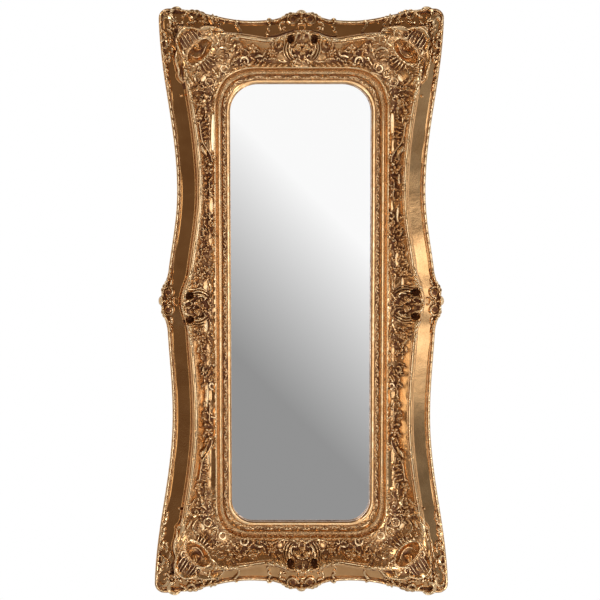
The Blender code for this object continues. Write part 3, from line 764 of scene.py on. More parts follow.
def swirl(turns):
    """A rose whose petals wind round its middle."""

    def form(reach, angle):
        wind = np.cos(angle * 3.0 + reach * turns * 2.0 * pi) * np.minimum(reach * 3, 1)
        ball = np.sqrt(np.maximum(1.0 - reach**2, 0.0))
        return 0.92 + 0.08 * np.cos(3.0 * angle + turns * 6.0), ball * (0.80 + 0.26 * wind)

    return form


def spiral(centre, start, end, turn_start, turn_end, count=14):
    """Points that wind in from one radius to another about a centre. Angles are in degrees."""
    turn = np.radians(np.linspace(turn_start, turn_end, count))
    radius = start * (end / start) ** np.linspace(0.0, 1.0, count)
    return np.column_stack([centre[0] + radius * np.cos(turn), centre[1] + radius * np.sin(turn)])


print("points of a spiral:", spiral((0.0, 0.0), 2.0, 1.0, 0.0, 360.0, 4).round(2).tolist())

# %% [markdown]
# ## The corner cartouches
# Each corner carries a shield with a broad rolled edge. In its middle is a deep polished bowl with a rose in
# it, between ribs that run in from the corner and a bright fan towards the glass. Scrolls, a palmette and
# leaves crowd round it on the lip. A carver makes one full sized drawing and pricks it through four times,
# turned over for each corner. The drawing here is a table of paths, in millimetres in from the corner.

# %% The corner's drawing
CORNER_RODS = [
    ("leaf", 4, (4, 7.9, 4), (7.2, 14.5, 7.2), [[(19, 7.7), (27, 16.2), (37.4, 21.8)]]),
    ("leaf", 3, (4, 7.9, 4), (7.2, 14.5, 7.2), [[(45.4, 42.6), (53.3, 51.8), (55.8, 64.1)]]),
    ("leaf", 3, (3.3, 7.1, 3.2), (5.8, 13, 5.8), [[(23.9, 56.1), (36.2, 60.4), (46, 70.8)]]),
    ("leaf", 2, (3.3, 7.1, 2.9), (5.8, 13, 5.8), [[(82.2, 31), (74.2, 40.2), (62.5, 45.1)]]),
    ("leaf", 3, (3.3, 6.6, 3.3), (5.8, 11.6, 5.8),
     [[(88, 38.9), (103.3, 38.9), (120.2, 34)], [(125.7, 36.5), (140.4, 35.9), (155.8, 40.2)],
      [(34.3, 75.1), (37.4, 91.1), (33.7, 107.6)], [(31.3, 121.7), (35, 138.9), (32.5, 157.3)]]),
    ("round", 0, (2.6, 4.2, 2.6), (5.8, 11.6, 5.8), [[(158.2, 27.3), (168, 35.3), (171.7, 44.5)]]),
    ("round", 0, (2.6, 4.2, 2.6), (5.8, 10.2, 5.8), [[(39.2, 107), (44.8, 118.7), (43.5, 130.9)]]),
    ("scroll", 0, (3.4, 5.8, 6.6, 6.6, 6.3, 4.5), (8.7, 15.9, 18.8, 18.8, 17.4, 11.6),
     [[(74.8, 10.7), (69.9, 3.7), (59.5, 0), (47.8, 3.7), (40.8, 14.4), (42.9, 27.3), (51.5, 34),
      (58.3, 29.7)]]),
    ("scroll", 0, (2.9, 4.8, 5.3, 5, 3.7), (7.2, 13, 15.9, 14.5, 10.2),
     [[(13.8, 34.3), (17.2, 27.3), (26.1, 24.2), (35, 29.1), (38.9, 38.6), (35.9, 47.5), (29.4, 49.4)]]),
    ("leaf", 2, (3.3, 6.6, 4), (5.8, 10.2, 7.2), [[(69.9, 27.9), (80.3, 20.5), (93.8, 15)]]),
    ("scroll", 0, (2.9, 4.2, 4.5, 4.2, 2.9), (7.2, 11.6, 13, 11.6, 7.2),
     [[(94.4, 13.2), (99.3, 22.4), (107.9, 28.2), (117.1, 24.2), (122.9, 14.4)]]),
    ("leaf", 4, (4, 6.6, 6.6, 4), (5.8, 8.7, 8.7, 5.8),
     [[(74.2, 6.7), (92.6, 9.2), (117.1, 9.8), (138.6, 15)]]),
    ("leaf", 3, (4, 6.6, 4), (7.2, 11.6, 7.2), [[(124.8, 12), (137.4, 19.9), (150.2, 32.2)]]),
    ("leaf", 3, (4, 6.6, 4), (5.8, 10.2, 5.8),
     [[(147.8, 19.9), (164.6, 26.7), (184.6, 32.8)], [(17.8, 154.2), (23.9, 175.7), (28.8, 200.2)]]),
    ("scroll", 0, (2.6, 3.4, 4, 3.4, 2.6), (5.8, 10.2, 10.2, 8.7, 5.8),
     [[(167.4, 17.5), (173.8, 24.2), (182.7, 25.1), (185.8, 32.2), (180.3, 36.5)]]),
    ("scroll", 0, (3.3, 4.8, 4.5, 4.2, 4.2, 3.4, 2.6), (7.2, 10.2, 10.2, 8.7, 10.2, 10.2, 5.8),
     [[(250.8, 34), (244.7, 36.5), (241, 42), (247.7, 51.2), (253.9, 59.8), (254.8, 70.2), (247.7, 78.8)]]),
    ("leaf", 3, (3.3, 6.6, 4), (5.8, 10.2, 7.2), [[(8, 54.3), (16.6, 68.4), (23.9, 84.9)]]),
    ("scroll", 0, (2.9, 4.2, 4.5, 4.5, 4.2, 2.9), (7.2, 11.6, 13, 13, 11.6, 7.2),
     [[(8.6, 96.6), (17.8, 88.6), (25.8, 94.1), (27.9, 107), (20.8, 114.4), (11, 112.5)]]),
    ("leaf", 3, (3.3, 6.6, 4), (5.8, 10.2, 5.8), [[(9.8, 120.5), (19, 137.1), (26.4, 158.8)]]),
    ("leaf", 3, (4, 5.9, 3.3), (5.8, 8.7, 4.3), [[(24.5, 203.3), (31.9, 221.7), (36.2, 246.2)]]),
    ("round", 0, (2.4, 3.7, 4.2, 4.2, 3.7, 3.2, 2.9, 2.6, 1.8),
     (11.6, 14.5, 17.4, 17.4, 15.9, 14.5, 13, 11.6, 7.2),
     [[(126.3, 60.4), (134.3, 53.7), (147.8, 49.4), (163.1, 49.4), (176.9, 52.4), (187.3, 51.8),
      (192.5, 46.3), (189.5, 41.4), (184.3, 43.8)]]),
    ("round", 0, (4, 4.5, 4.2, 3.2), (10.2, 10.2, 8.7, 5.8),
     [[(193.8, 54.3), (201.1, 64.1), (210.3, 75.7), (217.1, 85.2)]]),
    ("round", 0, (1.8, 2.4, 2.6, 2.8, 2.8, 2.6, 2.4, 2.1, 1.8),
     (10.2, 11.6, 13, 13, 13, 11.6, 11.6, 10.2, 8.7),
     [[(127.5, 61.6), (115.9, 57.3), (101.8, 52.4), (89.5, 51.2), (77.3, 54.9), (67.5, 62.9), (58.9, 73.3),
      (54, 85.5), (51.5, 99)]]),
    ("leaf", 2, (4.6, 6.3, 2.1), (7.2, 10.2, 5.8), [[(66.2, 102.1), (54, 91.7), (42.9, 75.7)]]),
    ("round", 0, (3.2, 4.2, 4.2, 3.7), (8.7, 10.2, 10.2, 8.7),
     [[(49.7, 84.9), (54.6, 96.6), (59.5, 108.8), (63.2, 121.7)]]),
    ("round", 0, (2.4, 3.7, 4.8, 4.8, 4.2, 3.2, 2.1), (11.6, 14.5, 17.4, 17.4, 15.9, 13, 8.7),
     [[(61.6, 121.7), (57.6, 134.6), (55.8, 149.9), (58.3, 165.3), (63.2, 181.8), (66.2, 197.1),
      (60.1, 208.2)]]),
    ("round", 0, (2.1, 2.9, 2.4, 1.6), (10.2, 15.9, 14.5, 7.2),
     [[(77.3, 75.1), (86.5, 89.8), (96.9, 105.8), (106.1, 118.7)]]),
    ("round", 0, (1.6, 2.5, 1.7), (8.7, 15.9, 8.7), [[(89.5, 71.4), (100.6, 88), (112.8, 108.2)]]),
    ("round", 0, (1.6, 2.4, 1.7), (8.7, 14.5, 10.2), [[(98.4, 67.8), (110.4, 83.1), (120.8, 97.8)]]),
    ("round", 0, (1.6, 2.2, 1.6), (8.7, 13, 8.7), [[(106.7, 65.3), (117.7, 77), (128.2, 89.2)]]),
    ("round", 0, (1.6, 2.5, 2.2, 1.5), (7.2, 14.5, 13, 7.2),
     [[(69.3, 78.2), (79.1, 96.6), (90.1, 113.7), (99.3, 126)]]),
    ("round", 0, (1.5, 2.4, 2.1, 1.3), (7.2, 13, 11.6, 7.2),
     [[(62.5, 87.4), (71.1, 104.6), (82.8, 121.7), (92.6, 134)]]),
    ("round", 0, (1.6, 2.5, 2.9, 2.9, 2.5, 1.6), (5.8, 10.2, 11.6, 11.6, 10.2, 5.8),
     [[(100, 137.1), (112.2, 143.8), (126.3, 143.2), (138, 132.1), (145.3, 116.2), (154.5, 101.5)]]),
    ("leaf", 2, (4, 6.6, 3.3), (4.3, 7.2, 4.3), [[(139.8, 81.9), (152.1, 70.2), (169.2, 64.7)]]),
    ("round", 0, (3.2, 4.5, 2.6), (5.8, 8.7, 4.3), [[(157.6, 61), (163.7, 69.6), (164.3, 81.9)]]),
    ("round", 0, (2.9, 5, 4, 2.4), (5.8, 10.2, 8.7, 4.3),
     [[(170.5, 71.4), (180.3, 86.8), (187, 102.1), (189.5, 114.4)]]),
    ("leaf", 2, (3.3, 6.3, 3.3), (5.8, 8.7, 5.8), [[(196.8, 80.6), (189.5, 96), (174.1, 111.9)]]),
    ("round", 0, (2.6, 4.2, 2.4), (5.8, 8.7, 4.3), [[(204.8, 81.9), (208.5, 94.7), (203.6, 109.5)]]),
    ("scroll", 0, (2.6, 3.7, 4, 3.7, 3.4, 2.6), (5.8, 8.7, 10.2, 10.2, 8.7, 5.8),
     [[(123.3, 67.1), (120.2, 77.6), (125.1, 88), (134.3, 86.8), (135.5, 76.3), (130.6, 71.4)]]),
    ("leaf", 2, (3.3, 6.1, 3.3), (4.3, 7.2, 4.3), [[(80.9, 156.1), (73, 141.3), (69.3, 125.4)]]),
    ("round", 0, (2.6, 4.5, 2.6), (5.8, 8.7, 4.3),
     [[(74.2, 148.1), (87.1, 161.6), (94.4, 174.5)], [(66.8, 209.4), (77.3, 222.9), (82.2, 241.3)]]),
    ("leaf", 3, (3.3, 6.6, 3.3), (5.8, 8.7, 5.8), [[(72.4, 167.7), (82.2, 183), (90.1, 200.8)]]),
    ("scroll", 0, (2.6, 3.4, 3.7, 3.4, 2.6), (5.8, 8.7, 10.2, 8.7, 5.8),
     [[(91.4, 121.7), (81.6, 120.5), (76.6, 129.1), (80.9, 137.7), (89.5, 135.8)]]),
    ("leaf", 7, (2.9, 5, 5.5, 5, 2.9), (4.3, 7.2, 8.7, 7.2, 4.3),
     [[(168, 109.5), (160.7, 127.9), (147.2, 146.9), (128.2, 163.4), (106.1, 174.5)]]),
    ("round", 0, (2.1, 3.2, 3.2, 2.4), (4.3, 7.2, 7.2, 4.3),
     [[(94.4, 130.9), (90.8, 146.9), (94.4, 161.6), (103.6, 173.2)],
      [(121.4, 97.8), (137.4, 90.4), (154.5, 92.9), (167.4, 105.8)]]),
    ("round", 0, (2.1, 3.4, 2.4), (7.2, 14.5, 8.7), [[(155.1, 145), (165, 150.5), (174.1, 157.3)]]),
    ("round", 0, (2.2, 3.6, 2.5), (7.2, 14.5, 8.7),
     [[(149, 152.4), (158.2, 160.4), (168, 168.9)], [(142.3, 159.1), (150.2, 168.9), (158.8, 178.7)]]),
    ("round", 0, (2.2, 3.6, 2.4), (7.2, 14.5, 8.7), [[(134.9, 164.6), (141.3, 175.1), (147.5, 185.5)]]),
    ("round", 0, (2.1, 3.3, 2.1), (7.2, 13, 7.2), [[(126.3, 168.3), (130.6, 178.1), (134.9, 188.6)]]),
    ("scroll", 0, (2.4, 3.7, 4.2, 3.7, 2.4), (5.8, 8.7, 10.2, 8.7, 5.8),
     [[(127.5, 189.2), (117.1, 197.8), (114.1, 210.6), (119.6, 223.5), (130, 229.6)],
      [(179.7, 130.3), (188.9, 119.3), (201.7, 116.2), (213.4, 122.3), (218.3, 134)]]),
    ("leaf", 3, (5.3, 9.9, 2.6), (5.8, 10.2, 5.8), [[(188.3, 208.2), (179.7, 193.5), (168, 178.7)]]),
    ("round", 0, (2.4, 4, 2.1), (5.8, 8.7, 4.3),
     [[(187.6, 206.3), (174.1, 201.4), (161.3, 195.3)], [(188.9, 205.7), (189.5, 190.4), (183.3, 173.8)]]),
    ("round", 0, (2.4, 3.4, 2.4), (4.3, 7.2, 4.3),
     [[(170.5, 236.4), (174.8, 224.1), (182.7, 212.5)], [(195, 201.4), (209.1, 194.1), (224.4, 189.8)]]),
    ("leaf", 2, (3.3, 6.6, 2.6), (5.8, 8.7, 5.8),
     [[(179.1, 154.8), (191.3, 149.9), (202.4, 155.4)], [(134.9, 204.5), (147.2, 197.1), (158.8, 199.6)]]),
    ("leaf", 2, (4, 6.6, 4), (5.8, 10.2, 5.8), [[(214, 78.2), (225.7, 75.1), (238.5, 78.2)]]),
    ("leaf", 2, (4, 7.1, 4), (5.8, 10.2, 5.8),
     [[(216.5, 99.6), (229.3, 91.1), (246.5, 91.1)], [(88.9, 204.5), (100.6, 212.5), (108.5, 229)]]),
    ("leaf", 3, (4, 7.4, 4), (5.8, 10.2, 5.8),
     [[(217.1, 146.2), (226.9, 124.8), (237.3, 106.4)], [(223.8, 168.9), (234.9, 151.8), (252.6, 140.1)],
      [(142.3, 248), (125.1, 241.3), (106.1, 247.4)], [(88.3, 229.6), (99.3, 249.3), (105.5, 271.3)],
      [(157.6, 252.9), (145.9, 272.6), (141, 295.9)]]),
]
CORNER_DISCS = [
    ("rosette", 10.925, 10.8, [(22.7, 14.7)]),
    ("boss", 4.37, 10.8, [(55.8, 25.4)]),
    ("boss", 4.14, 10.8, [(28.8, 44.5)]),
    ("boss", 4.83, 10.8, [(49.4, 45.1)]),
    ("boss", 4.6, 7.2, [(205.4, 36.5)]),
    ("boss", 3.91, 7.2, [(24.5, 135.5)]),
    ("boss", 3.45, 9.6, [(88.9, 60.4), (101.2, 61), (114.1, 65.3)]),
    ("boss", 3.68, 7.2, [(73, 106.4), (146.6, 82.5), (188.3, 83.1)]),
    ("boss", 3.45, 6, [(63.8, 113.7)]),
    ("boss", 3.91, 8.4, [(84.3, 129.4)]),
    ("boss", 3.68, 8.4, [(129.1, 79.4)]),
    ("boss", 4.83, 8.4, [(71.7, 261.5)]),
    ("boss", 4.14, 8.4, [(229.9, 98.1)]),
    ("rosette", 13.8, 9.6, [(252, 119), (111.6, 275.3)]),
]


def count_shapes(rods, discs):
    """How many shapes two tables of a drawing hold."""
    return sum(len(row[4]) for row in rods) + sum(len(row[3]) for row in discs)


print("corner shapes:", count_shapes(CORNER_RODS, CORNER_DISCS))

# %% Carving the corners
MM = 0.001
BOWL_AXIS = -pi / 4.0
SHIFT_FROM = 15.0
SHIFT_OVER = 35.0
FORMS = {"boss": boss, "swirl": swirl(0.9), "rosette": rosette(5)}
PANEL_CENTRE = (139.0, 207.0)
RIM_PLACES = [((204.2, 177.2), 11.0), ((159.7, 218.3), 12.5)]


def corner_spot(hand, end):
    """The place on the frame of a point given as millimetres in along the rail and along the side."""
    wide, high = (float(size) for size in corner_sizes(end))
    aside, inward = TOP_CARVING_SHIFT if end > 0 else BOTTOM_CARVING_SHIFT

    def spot(along_rail, along_side):
        from_side = along_rail * MM + aside * shift_share(along_rail)
        from_rail = along_side * MM + inward * shift_share(along_side)
        return hand * (wide - from_side), end * (high - from_rail)

    return spot


def shift_share(distance):
    """How much of the corner's shift a distance in from the outline takes: none at 15 mm, all from 50 mm."""
    return np.clip((np.asarray(distance) - SHIFT_FROM) / SHIFT_OVER, 0.0, 1.0)


def lay_fan(shape, spot, centre, lobes, first, last, inner, outer, half, rise):
    """Ribs that spread from a centre, between two angles in degrees. Lengths are in millimetres."""
    for turn in np.radians(np.linspace(first, last, lobes)):
        way = np.array([cos(turn), sin(turn)])
        points = [centre + way * reach for reach in (inner, (inner + outer) / 2.0, outer)]
        widths = (half * 0.45, half, half * 1.05, half * 0.5)
        lay_rod(shape, spot, points, widths, (rise * 0.5, rise, rise, rise * 0.4), steps=10, around=8)


def lay_tables(shape, spot, rods, discs, turn=0.0):
    """Lay rows of (kind, lobes, widths, rises, paths) and (form, size, rise, centres, squeeze, turn)."""
    for kind, lobes, widths, rises, paths in rods:
        around = 14 if kind in ("leaf", "band", "scroll") else 8
        for points in paths:
            steps = 5 * len(points) if kind != "leaf" else 8 * max(lobes, 2)
            lay_rod(shape, spot, points, widths, [rise * MM for rise in rises], kind, lobes, steps, around)
    for form, size, rise, centres, *oval in discs:
        squeeze, own_turn = oval or (1.0, turn)
        rings, around = (4, 12) if form == "boss" and size < 6.0 else (8, 30)
        for centre in centres:
            lay_disc(shape, spot, centre, size, rise * MM, FORMS[form], own_turn, rings, around, squeeze)


def carve_corner(shape, hand, end):
    """Lay one corner's shield, bowl with its rose, panel, fan, two rimmed eyes, scrolls and leaves."""
    spot = corner_spot(hand, end)

    def shield_form(reach, angle):
        return np.interp(angle, SHIELD_ANGLES, SHIELD_RADII, period=2.0 * pi), np.ones_like(reach)

    def flat_form(reach, angle):
        return 1.0, np.ones_like(reach)

    lay_disc(shape, spot, SHIELD_CENTRE, 1.0, 0.0012, shield_form, rings=34, around=110)
    bowl = (BOWL_HALF_LENGTH / MM + 2.0, 0.0022, flat_form)
    lay_disc(shape, spot, BOWL_CENTRE, *bowl, BOWL_AXIS, 16, 56, BOWL_HALF_WIDTH / BOWL_HALF_LENGTH)
    lay_disc(shape, spot, (122.0, 115.5), 14.0, 0.020, FORMS["swirl"], 0.0, 8, 30)
    panel_bed = float(ground(*spot(*PANEL_CENTRE)))
    lay_disc(shape, spot, PANEL_CENTRE, 15.0, 0.005, flat_form, 2.2, 5, 24, 0.72, panel_bed)
    lay_fan(shape, spot, np.array([48.7, 45.1]), 7, -50.0, 160.0, 5.5, 19.0, 4.6, 0.014)
    for middle, size in RIM_PLACES:
        ring = spiral(middle, size, size * 0.86, 30.0, 385.0)
        lay_rod(shape, spot, ring, (2.6, 3.4, 3.4, 2.4), (0.006, 0.008, 0.008, 0.005), "scroll", 0, 26, 10)
        lay_disc(shape, spot, middle, 3.4, 0.006, boss, rings=4, around=12)
    lay_tables(shape, spot, CORNER_RODS, CORNER_DISCS)


corner_pieces = []
for name, end in (("upper_corner_carving", 1), ("lower_corner_carving", -1)):
    shape = bmesh.new()
    for hand in (1, -1):
        carve_corner(shape, hand, end)
    corner_pieces.append(closed_piece(name, shape))
print("faces:", face_counts(*corner_pieces))

# %% [markdown]
# ## The cartouches in the middle of each rail
# Halfway along every rail and side stands a crest with two smooth oval cabochons and a ball on the lip, and
# under it, across the hollow, a palmette, leafy wings with curled tips, and a medallion: a knot of roses held
# by ribbed brackets, with a deep pierced hollow on each side. One drawing again serves four times. It is
# symmetrical, so most shapes are laid twice, to the left and to the right of the axis, and the few on the
# axis once. The wings lie across the hollow of the rails only.

# %% The middle cartouche's drawing
CENTRE_RODS = [
    ("leaf", 5, (3.2, 5.9, 6.5, 6.5, 3.2), (5.4, 9.5, 9.5, 9.5, 5.4),
     [[(10.4, 9.8), (23, 5.8), (37.4, 7.4), (52.1, 15.9), (65.9, 25.1)]]),
    ("scroll", 0, (2.3, 3.1, 3.4, 3.4, 3.1, 2.3), (5.4, 9.5, 10.8, 10.8, 9.5, 6.8),
     [[(10.4, 15.3), (14.1, 28.8), (25.8, 36.5), (38, 33.7), (43.5, 23.3), (39.6, 14.1)]]),
    ("round", 0, (1.8, 2.6, 2.6, 2.1), (5.4, 8.1, 8.1, 5.4),
     [[(3.7, 24.5), (9.2, 20.2), (12.3, 25.1), (8.6, 28.8)]]),
    ("leaf", 2, (3.2, 6.5, 3.2), (5.4, 9.5, 5.4),
     [[(44.8, 26.4), (56.4, 31.9), (69.3, 32.5)], [(9.2, 139.2), (20.2, 149.6), (33.1, 154.5)]]),
    ("leaf", 2, (3.1, 4.9, 2.1), (5.4, 8.1, 4.1), [[(63.8, 27.6), (67.1, 41.1), (63.8, 55.8)]]),
    ("leaf", 3, (3.2, 5.2, 3.2), (5.4, 8.1, 5.4), [[(67.5, 26.4), (82.8, 30), (96.9, 29.4)]]),
    ("scroll", 0, (2.3, 3.4, 3.9, 3.6, 3.4, 3.1, 2.1), (5.4, 9.5, 9.5, 8.1, 8.1, 8.1, 5.4),
     [[(90.8, 24.5), (100, 21.5), (104.2, 28.2), (98.1, 36.8), (95.7, 45.4), (102.4, 51.5), (97.5, 60.1)]]),
    ("round", 0, (1.6, 2.3, 2.3, 1.6), (4.1, 6.8, 6.8, 4.1),
     [[(47.8, 49.7), (55.2, 46.6), (56.4, 53.3), (51.5, 56.4)]]),
    ("band", 0, (2.9, 5.5, 6.5, 6.2, 5.2, 4.2, 3.1, 2.1), (9.5, 12.2, 12.2, 10.8, 10.8, 9.5, 9.5, 6.8),
     [[(16.6, 65), (27.6, 60.7), (42.9, 61.9), (62.5, 69.3), (82.8, 74.2), (99.3, 74.2), (107, 66.2),
      (104.2, 60.1)]]),
    ("leaf", 3, (5.2, 9.8, 3.9), (6.8, 10.8, 5.4), [[(50.3, 74.8), (62.5, 90.1), (64.4, 110.4)]]),
    ("leaf", 3, (3.9, 7.8, 3.2), (5.4, 9.5, 5.4), [[(66.2, 80.9), (78.5, 92.6), (82.8, 108.5)]]),
    ("leaf", 2, (3.2, 6.5, 3.2), (5.4, 8.1, 5.4), [[(84, 82.8), (96.9, 90.8), (108.5, 93.2)]]),
    ("leaf", 2, (3.2, 6, 3.2), (5.4, 8.1, 5.4), [[(87.7, 96.3), (92, 106.1), (88.3, 115.9)]]),
    ("round", 0, (2.9, 4.4, 4.4, 2.6), (8.1, 10.8, 10.8, 6.8),
     [[(41.7, 66.2), (52.7, 75.4), (55.2, 91.4), (54, 105.5)]]),
    ("scroll", 0, (2.9, 3.9, 4.2, 3.9, 3.4, 2.6), (8.1, 12.2, 13.5, 12.2, 10.8, 8.1),
     [[(14.1, 68.1), (20.2, 81.6), (26.4, 93.8), (34.3, 93.2), (36.2, 85.2), (30, 81.6)]]),
    ("round", 0, (2.1, 3.9, 3.9, 2.1), (6.8, 12.2, 12.2, 6.8),
     [[(36.8, 96.9), (39.9, 113.4), (35.6, 130), (26.4, 142.9)]]),
    ("round", 0, (2.1, 3.6, 3.6, 2.1), (6.8, 10.8, 10.8, 5.4),
     [[(45.4, 96.9), (49.1, 114.7), (44.2, 132.5), (33.7, 146.6)]]),
    ("round", 0, (1.8, 3.1, 3.1, 1.8), (5.4, 8.1, 8.1, 4.1),
     [[(52.7, 100), (57, 116.5), (52.1, 134.3), (41.7, 147.8)]]),
    ("round", 0, (2.1, 3.9, 4.4, 2.6), (8.1, 13.5, 14.9, 9.5),
     [[(31.9, 112.2), (33.7, 127.5), (27, 136.7), (19.6, 131.8)]]),
    ("leaf", 2, (3.2, 6.2, 3.2), (5.4, 8.1, 5.4), [[(36.8, 149), (54, 152.7), (71.7, 150.2)]]),
    ("leaf", 2, (3.2, 5.7, 3.2), (5.4, 8.1, 5.4), [[(70.5, 151.5), (83.4, 143.5), (92, 145.9)]]),
]
AXIS_RODS = [
    ("round", 0, (2.1, 3.9, 2.1), (5.4, 9.5, 5.4), [[(-12.9, 39.9), (0, 35.6), (12.9, 39.9)]]),
    ("leaf", 2, (3.9, 7.2, 2.6), (6.8, 12.2, 6.8), [[(1.2, 93.8), (1.2, 85.2), (1.2, 75.4)]]),
]
CENTRE_DISCS = [
    ("boss", 14.3, 8.05, [(26.1, 22.7)], 0.8, 0.25),
    ("boss", 3.74, 8.05, [(10.4, 45.1), (66.2, 82.8)]),
    ("boss", 3.96, 11.5, [(30, 86.5)]),
    ("swirl", 14.3, 13.8, [(13.2, 112.8)]),
    ("rosette", 14.3, 10.3, [(95, 127.5)], 1, 0.3),
    ("boss", 3.74, 6.9, [(80.3, 136.1)]),
]
AXIS_DISCS = [
    ("boss", 14.3, 10.3, [(0, 1.8)], 0.62, 0),
    ("boss", 6.05, 10.3, [(0, 12.3)]),
    ("boss", 6.6, 10.3, [(0, 28.8)], 0.85, 0),
    ("swirl", 11.6, 12.6, [(1.8, 126.3)]),
]
CENTRE_FANS = [
    ((0.0, 74.8), 5, -160, -20, 4.3, 17.2, 3.4, 9),
    ((1.2, 142.9), 5, 25, 155, 3.7, 16.6, 3, 8),
]
print("middle shapes:", count_shapes(CENTRE_RODS + AXIS_RODS, CENTRE_DISCS + AXIS_DISCS))

# %% Carving the middles
WING_INWARD = (52.0, 80.0)
DROP_FROM = 46.0
DROP_OVER = 8.0


def middle_spot(on_rail, end):
    """The place on the frame of a point given as millimetres aside of the axis and in from the outline."""
    drop = SIDE_MIDDLE_DROPS[end > 0]

    def spot(aside, inward):
        if on_rail:
            return np.asarray(aside) * MM, end * (float(half_height(0.0, end)) - inward * MM)
        below = drop * np.clip((np.asarray(inward) - DROP_FROM) / DROP_OVER, 0.0, 1.0)
        return end * (float(half_width(0.0)) - inward * MM), np.asarray(aside) * MM - below

    return spot


def in_hollow(path):
    """Whether a path of the drawing is a wing or a curl that lies in the hollow. The sides have none."""
    return WING_INWARD[0] < max(inward for _, inward in path) < WING_INWARD[1]


def carve_middle(shape, on_rail, end):
    """Lay the crest, wings, medallion and drop in the middle of one rail or side."""
    spot = middle_spot(on_rail, end)
    rods = [
        (*settings, [path for path in paths if on_rail or not in_hollow(path)])
        for *settings, paths in CENTRE_RODS
    ]
    lay_tables(shape, spot, rods + AXIS_RODS, CENTRE_DISCS + AXIS_DISCS)
    lay_tables(shape, lambda aside, inward: spot(-aside, inward), rods, CENTRE_DISCS)
    for centre, *settings, rise in CENTRE_FANS:
        lay_fan(shape, spot, np.array(centre), *settings, rise * MM)


middle_pieces = []
for name, on_rail in (("rail_middle_carving", True), ("side_middle_carving", False)):
    shape = bmesh.new()
    for end in (1, -1):
        carve_middle(shape, on_rail, end)
    middle_pieces.append(closed_piece(name, shape))
print("faces:", face_counts(*middle_pieces))

# %% [markdown]
# ## Garlands in the field
# Between the cartouches, garlands of flowers, buds and leafy sprigs hang in the sunk field, with polished
# gaps between them. The garland is drawn once, for the upper quarter, and laid four times. Its points are
# millimetres from the middle of the frame. Every drawn shape has a place of its own, because a careful eye
# finds the same flower again on the other side. Smooth polished panels lie here and there beside the fillet.
# They are level, so that each one lights up as a whole, and they differ from side to side.

# %% The garland's drawing
GARLAND_RODS = [
    ("leaf", 3, (3.2, 5.8, 2), (6.3, 10.5, 5.2),
     [[(306, 616.3), (310.6, 588.7)], [(284.5, 607.1), (273.8, 581)], [(272.3, 383.2), (284.5, 361.8)],
      [(163.1, 724.8), (141.6, 737.7)], [(123.9, 719.3), (107.9, 732.8)], [(108.5, 718.1), (92.6, 730.3)]]),
    ("leaf", 3, (3.4, 6.2, 2.2), (6.3, 10.5, 5.2), [[(296.8, 613.2), (292.2, 576.4)]]),
    ("round", 0, (2.5, 2.8, 2.5), (8.2, 8.2, 8.2),
     [[(314, 548.8), (310.3, 524.3), (307.2, 502.8), (301.1, 482.9), (288.8, 464.5), (277.5, 444.6),
      (273.8, 426.2)]]),
    ("leaf", 2, (2.7, 4.8, 1.7), (5.4, 9, 4.5),
     [[(310.3, 542.7), (290.7, 552.5)], [(307.8, 527.4), (287.6, 534.7)], [(306, 513.2), (288.8, 521.2)]]),
    ("leaf", 2, (2.8, 5.1, 1.8), (5.4, 9, 4.5),
     [[(304.1, 499.8), (282.7, 504.7)], [(281.5, 351.1), (266.1, 358.7)],
      [(281.5, 349.5), (290.7, 337.3)]]),
    ("round", 0, (3.4, 8.6, 3.4), (7.5, 12, 7.5), [[(307.5, 475.2), (298.3, 459.9), (290.7, 444.6)]]),
    ("leaf", 3, (2.9, 5.3, 1.9), (5.8, 9.8, 4.9),
     [[(276.9, 450.7), (263.7, 432.3)], [(290.7, 444.6), (281.5, 423.1)], [(186.4, 764.7), (184.6, 746.3)],
      [(198.7, 743.8), (179.1, 752.4)], [(137.4, 717.4), (126.3, 734)], [(92.6, 717.4), (76, 728.5)],
      [(76, 716.8), (59.5, 727.3)], [(58.9, 716.2), (42.3, 726)]]),
    ("round", 0, (2.3, 2.5, 2.3), (7.5, 7.5, 7.5), [[(282.7, 364.9), (281.8, 340.3), (279.6, 318.9)]]),
    ("leaf", 2, (2.9, 5.3, 1.9), (5.4, 9, 4.5), [[(281.8, 340.3), (273.5, 320.4)]]),
    ("leaf", 3, (3.8, 6.9, 2.4), (6.3, 10.5, 5.2),
     [[(281.5, 251.4), (270.4, 228.1)], [(275.3, 177.8), (271, 156.4)]]),
    ("leaf", 3, (3.2, 5.8, 2), (5.8, 9.8, 4.9),
     [[(263.7, 249.6), (273.5, 229.3)], [(286.4, 229.9), (280.2, 208.5)], [(267.4, 222), (276.6, 202.4)],
      [(284.5, 191.3), (260, 198.7)], [(289.4, 187), (285.8, 166.8)], [(302.9, 144.1), (292.5, 119.6)],
      [(275.3, 138), (285.8, 116.5)], [(268, 119.6), (277.2, 95)], [(298.6, 113.4), (288.8, 88.9)],
      [(272.3, 92), (279.6, 67.5)]]),
    ("scroll", 0, (2.1, 3.2, 3.4, 3.2, 2.1), (6, 9, 10.5, 9, 6),
     [[(287, 208.5), (294.9, 217.1), (301.7, 210.3), (298.6, 200.5), (290.7, 201.7)],
      [(270.4, 271.6), (279.6, 266.1), (282.1, 256.9), (274.7, 252), (269.2, 257.5)]]),
    ("scroll", 0, (2.1, 3.7, 4.1, 3.7, 2.1), (7.5, 12, 12, 12, 7.5),
     [[(187.6, 732.2), (184.6, 743.2), (173.5, 746.9), (165, 739.5), (164.3, 728.5)]]),
    ("leaf", 2, (2.9, 5.3, 1.9), (5.8, 9.8, 4.9),
     [[(160, 749.9), (143.5, 738.9)], [(106.1, 739.5), (86.5, 746.3)], [(73.6, 756.7), (57, 766.5)],
      [(77.3, 770.8), (62.5, 781.8)]]),
    ("band", 0, (3.4, 5.3, 3.4), (9, 12, 9), [[(144.7, 746.3), (131.2, 750.6), (117.7, 749.3)]]),
]
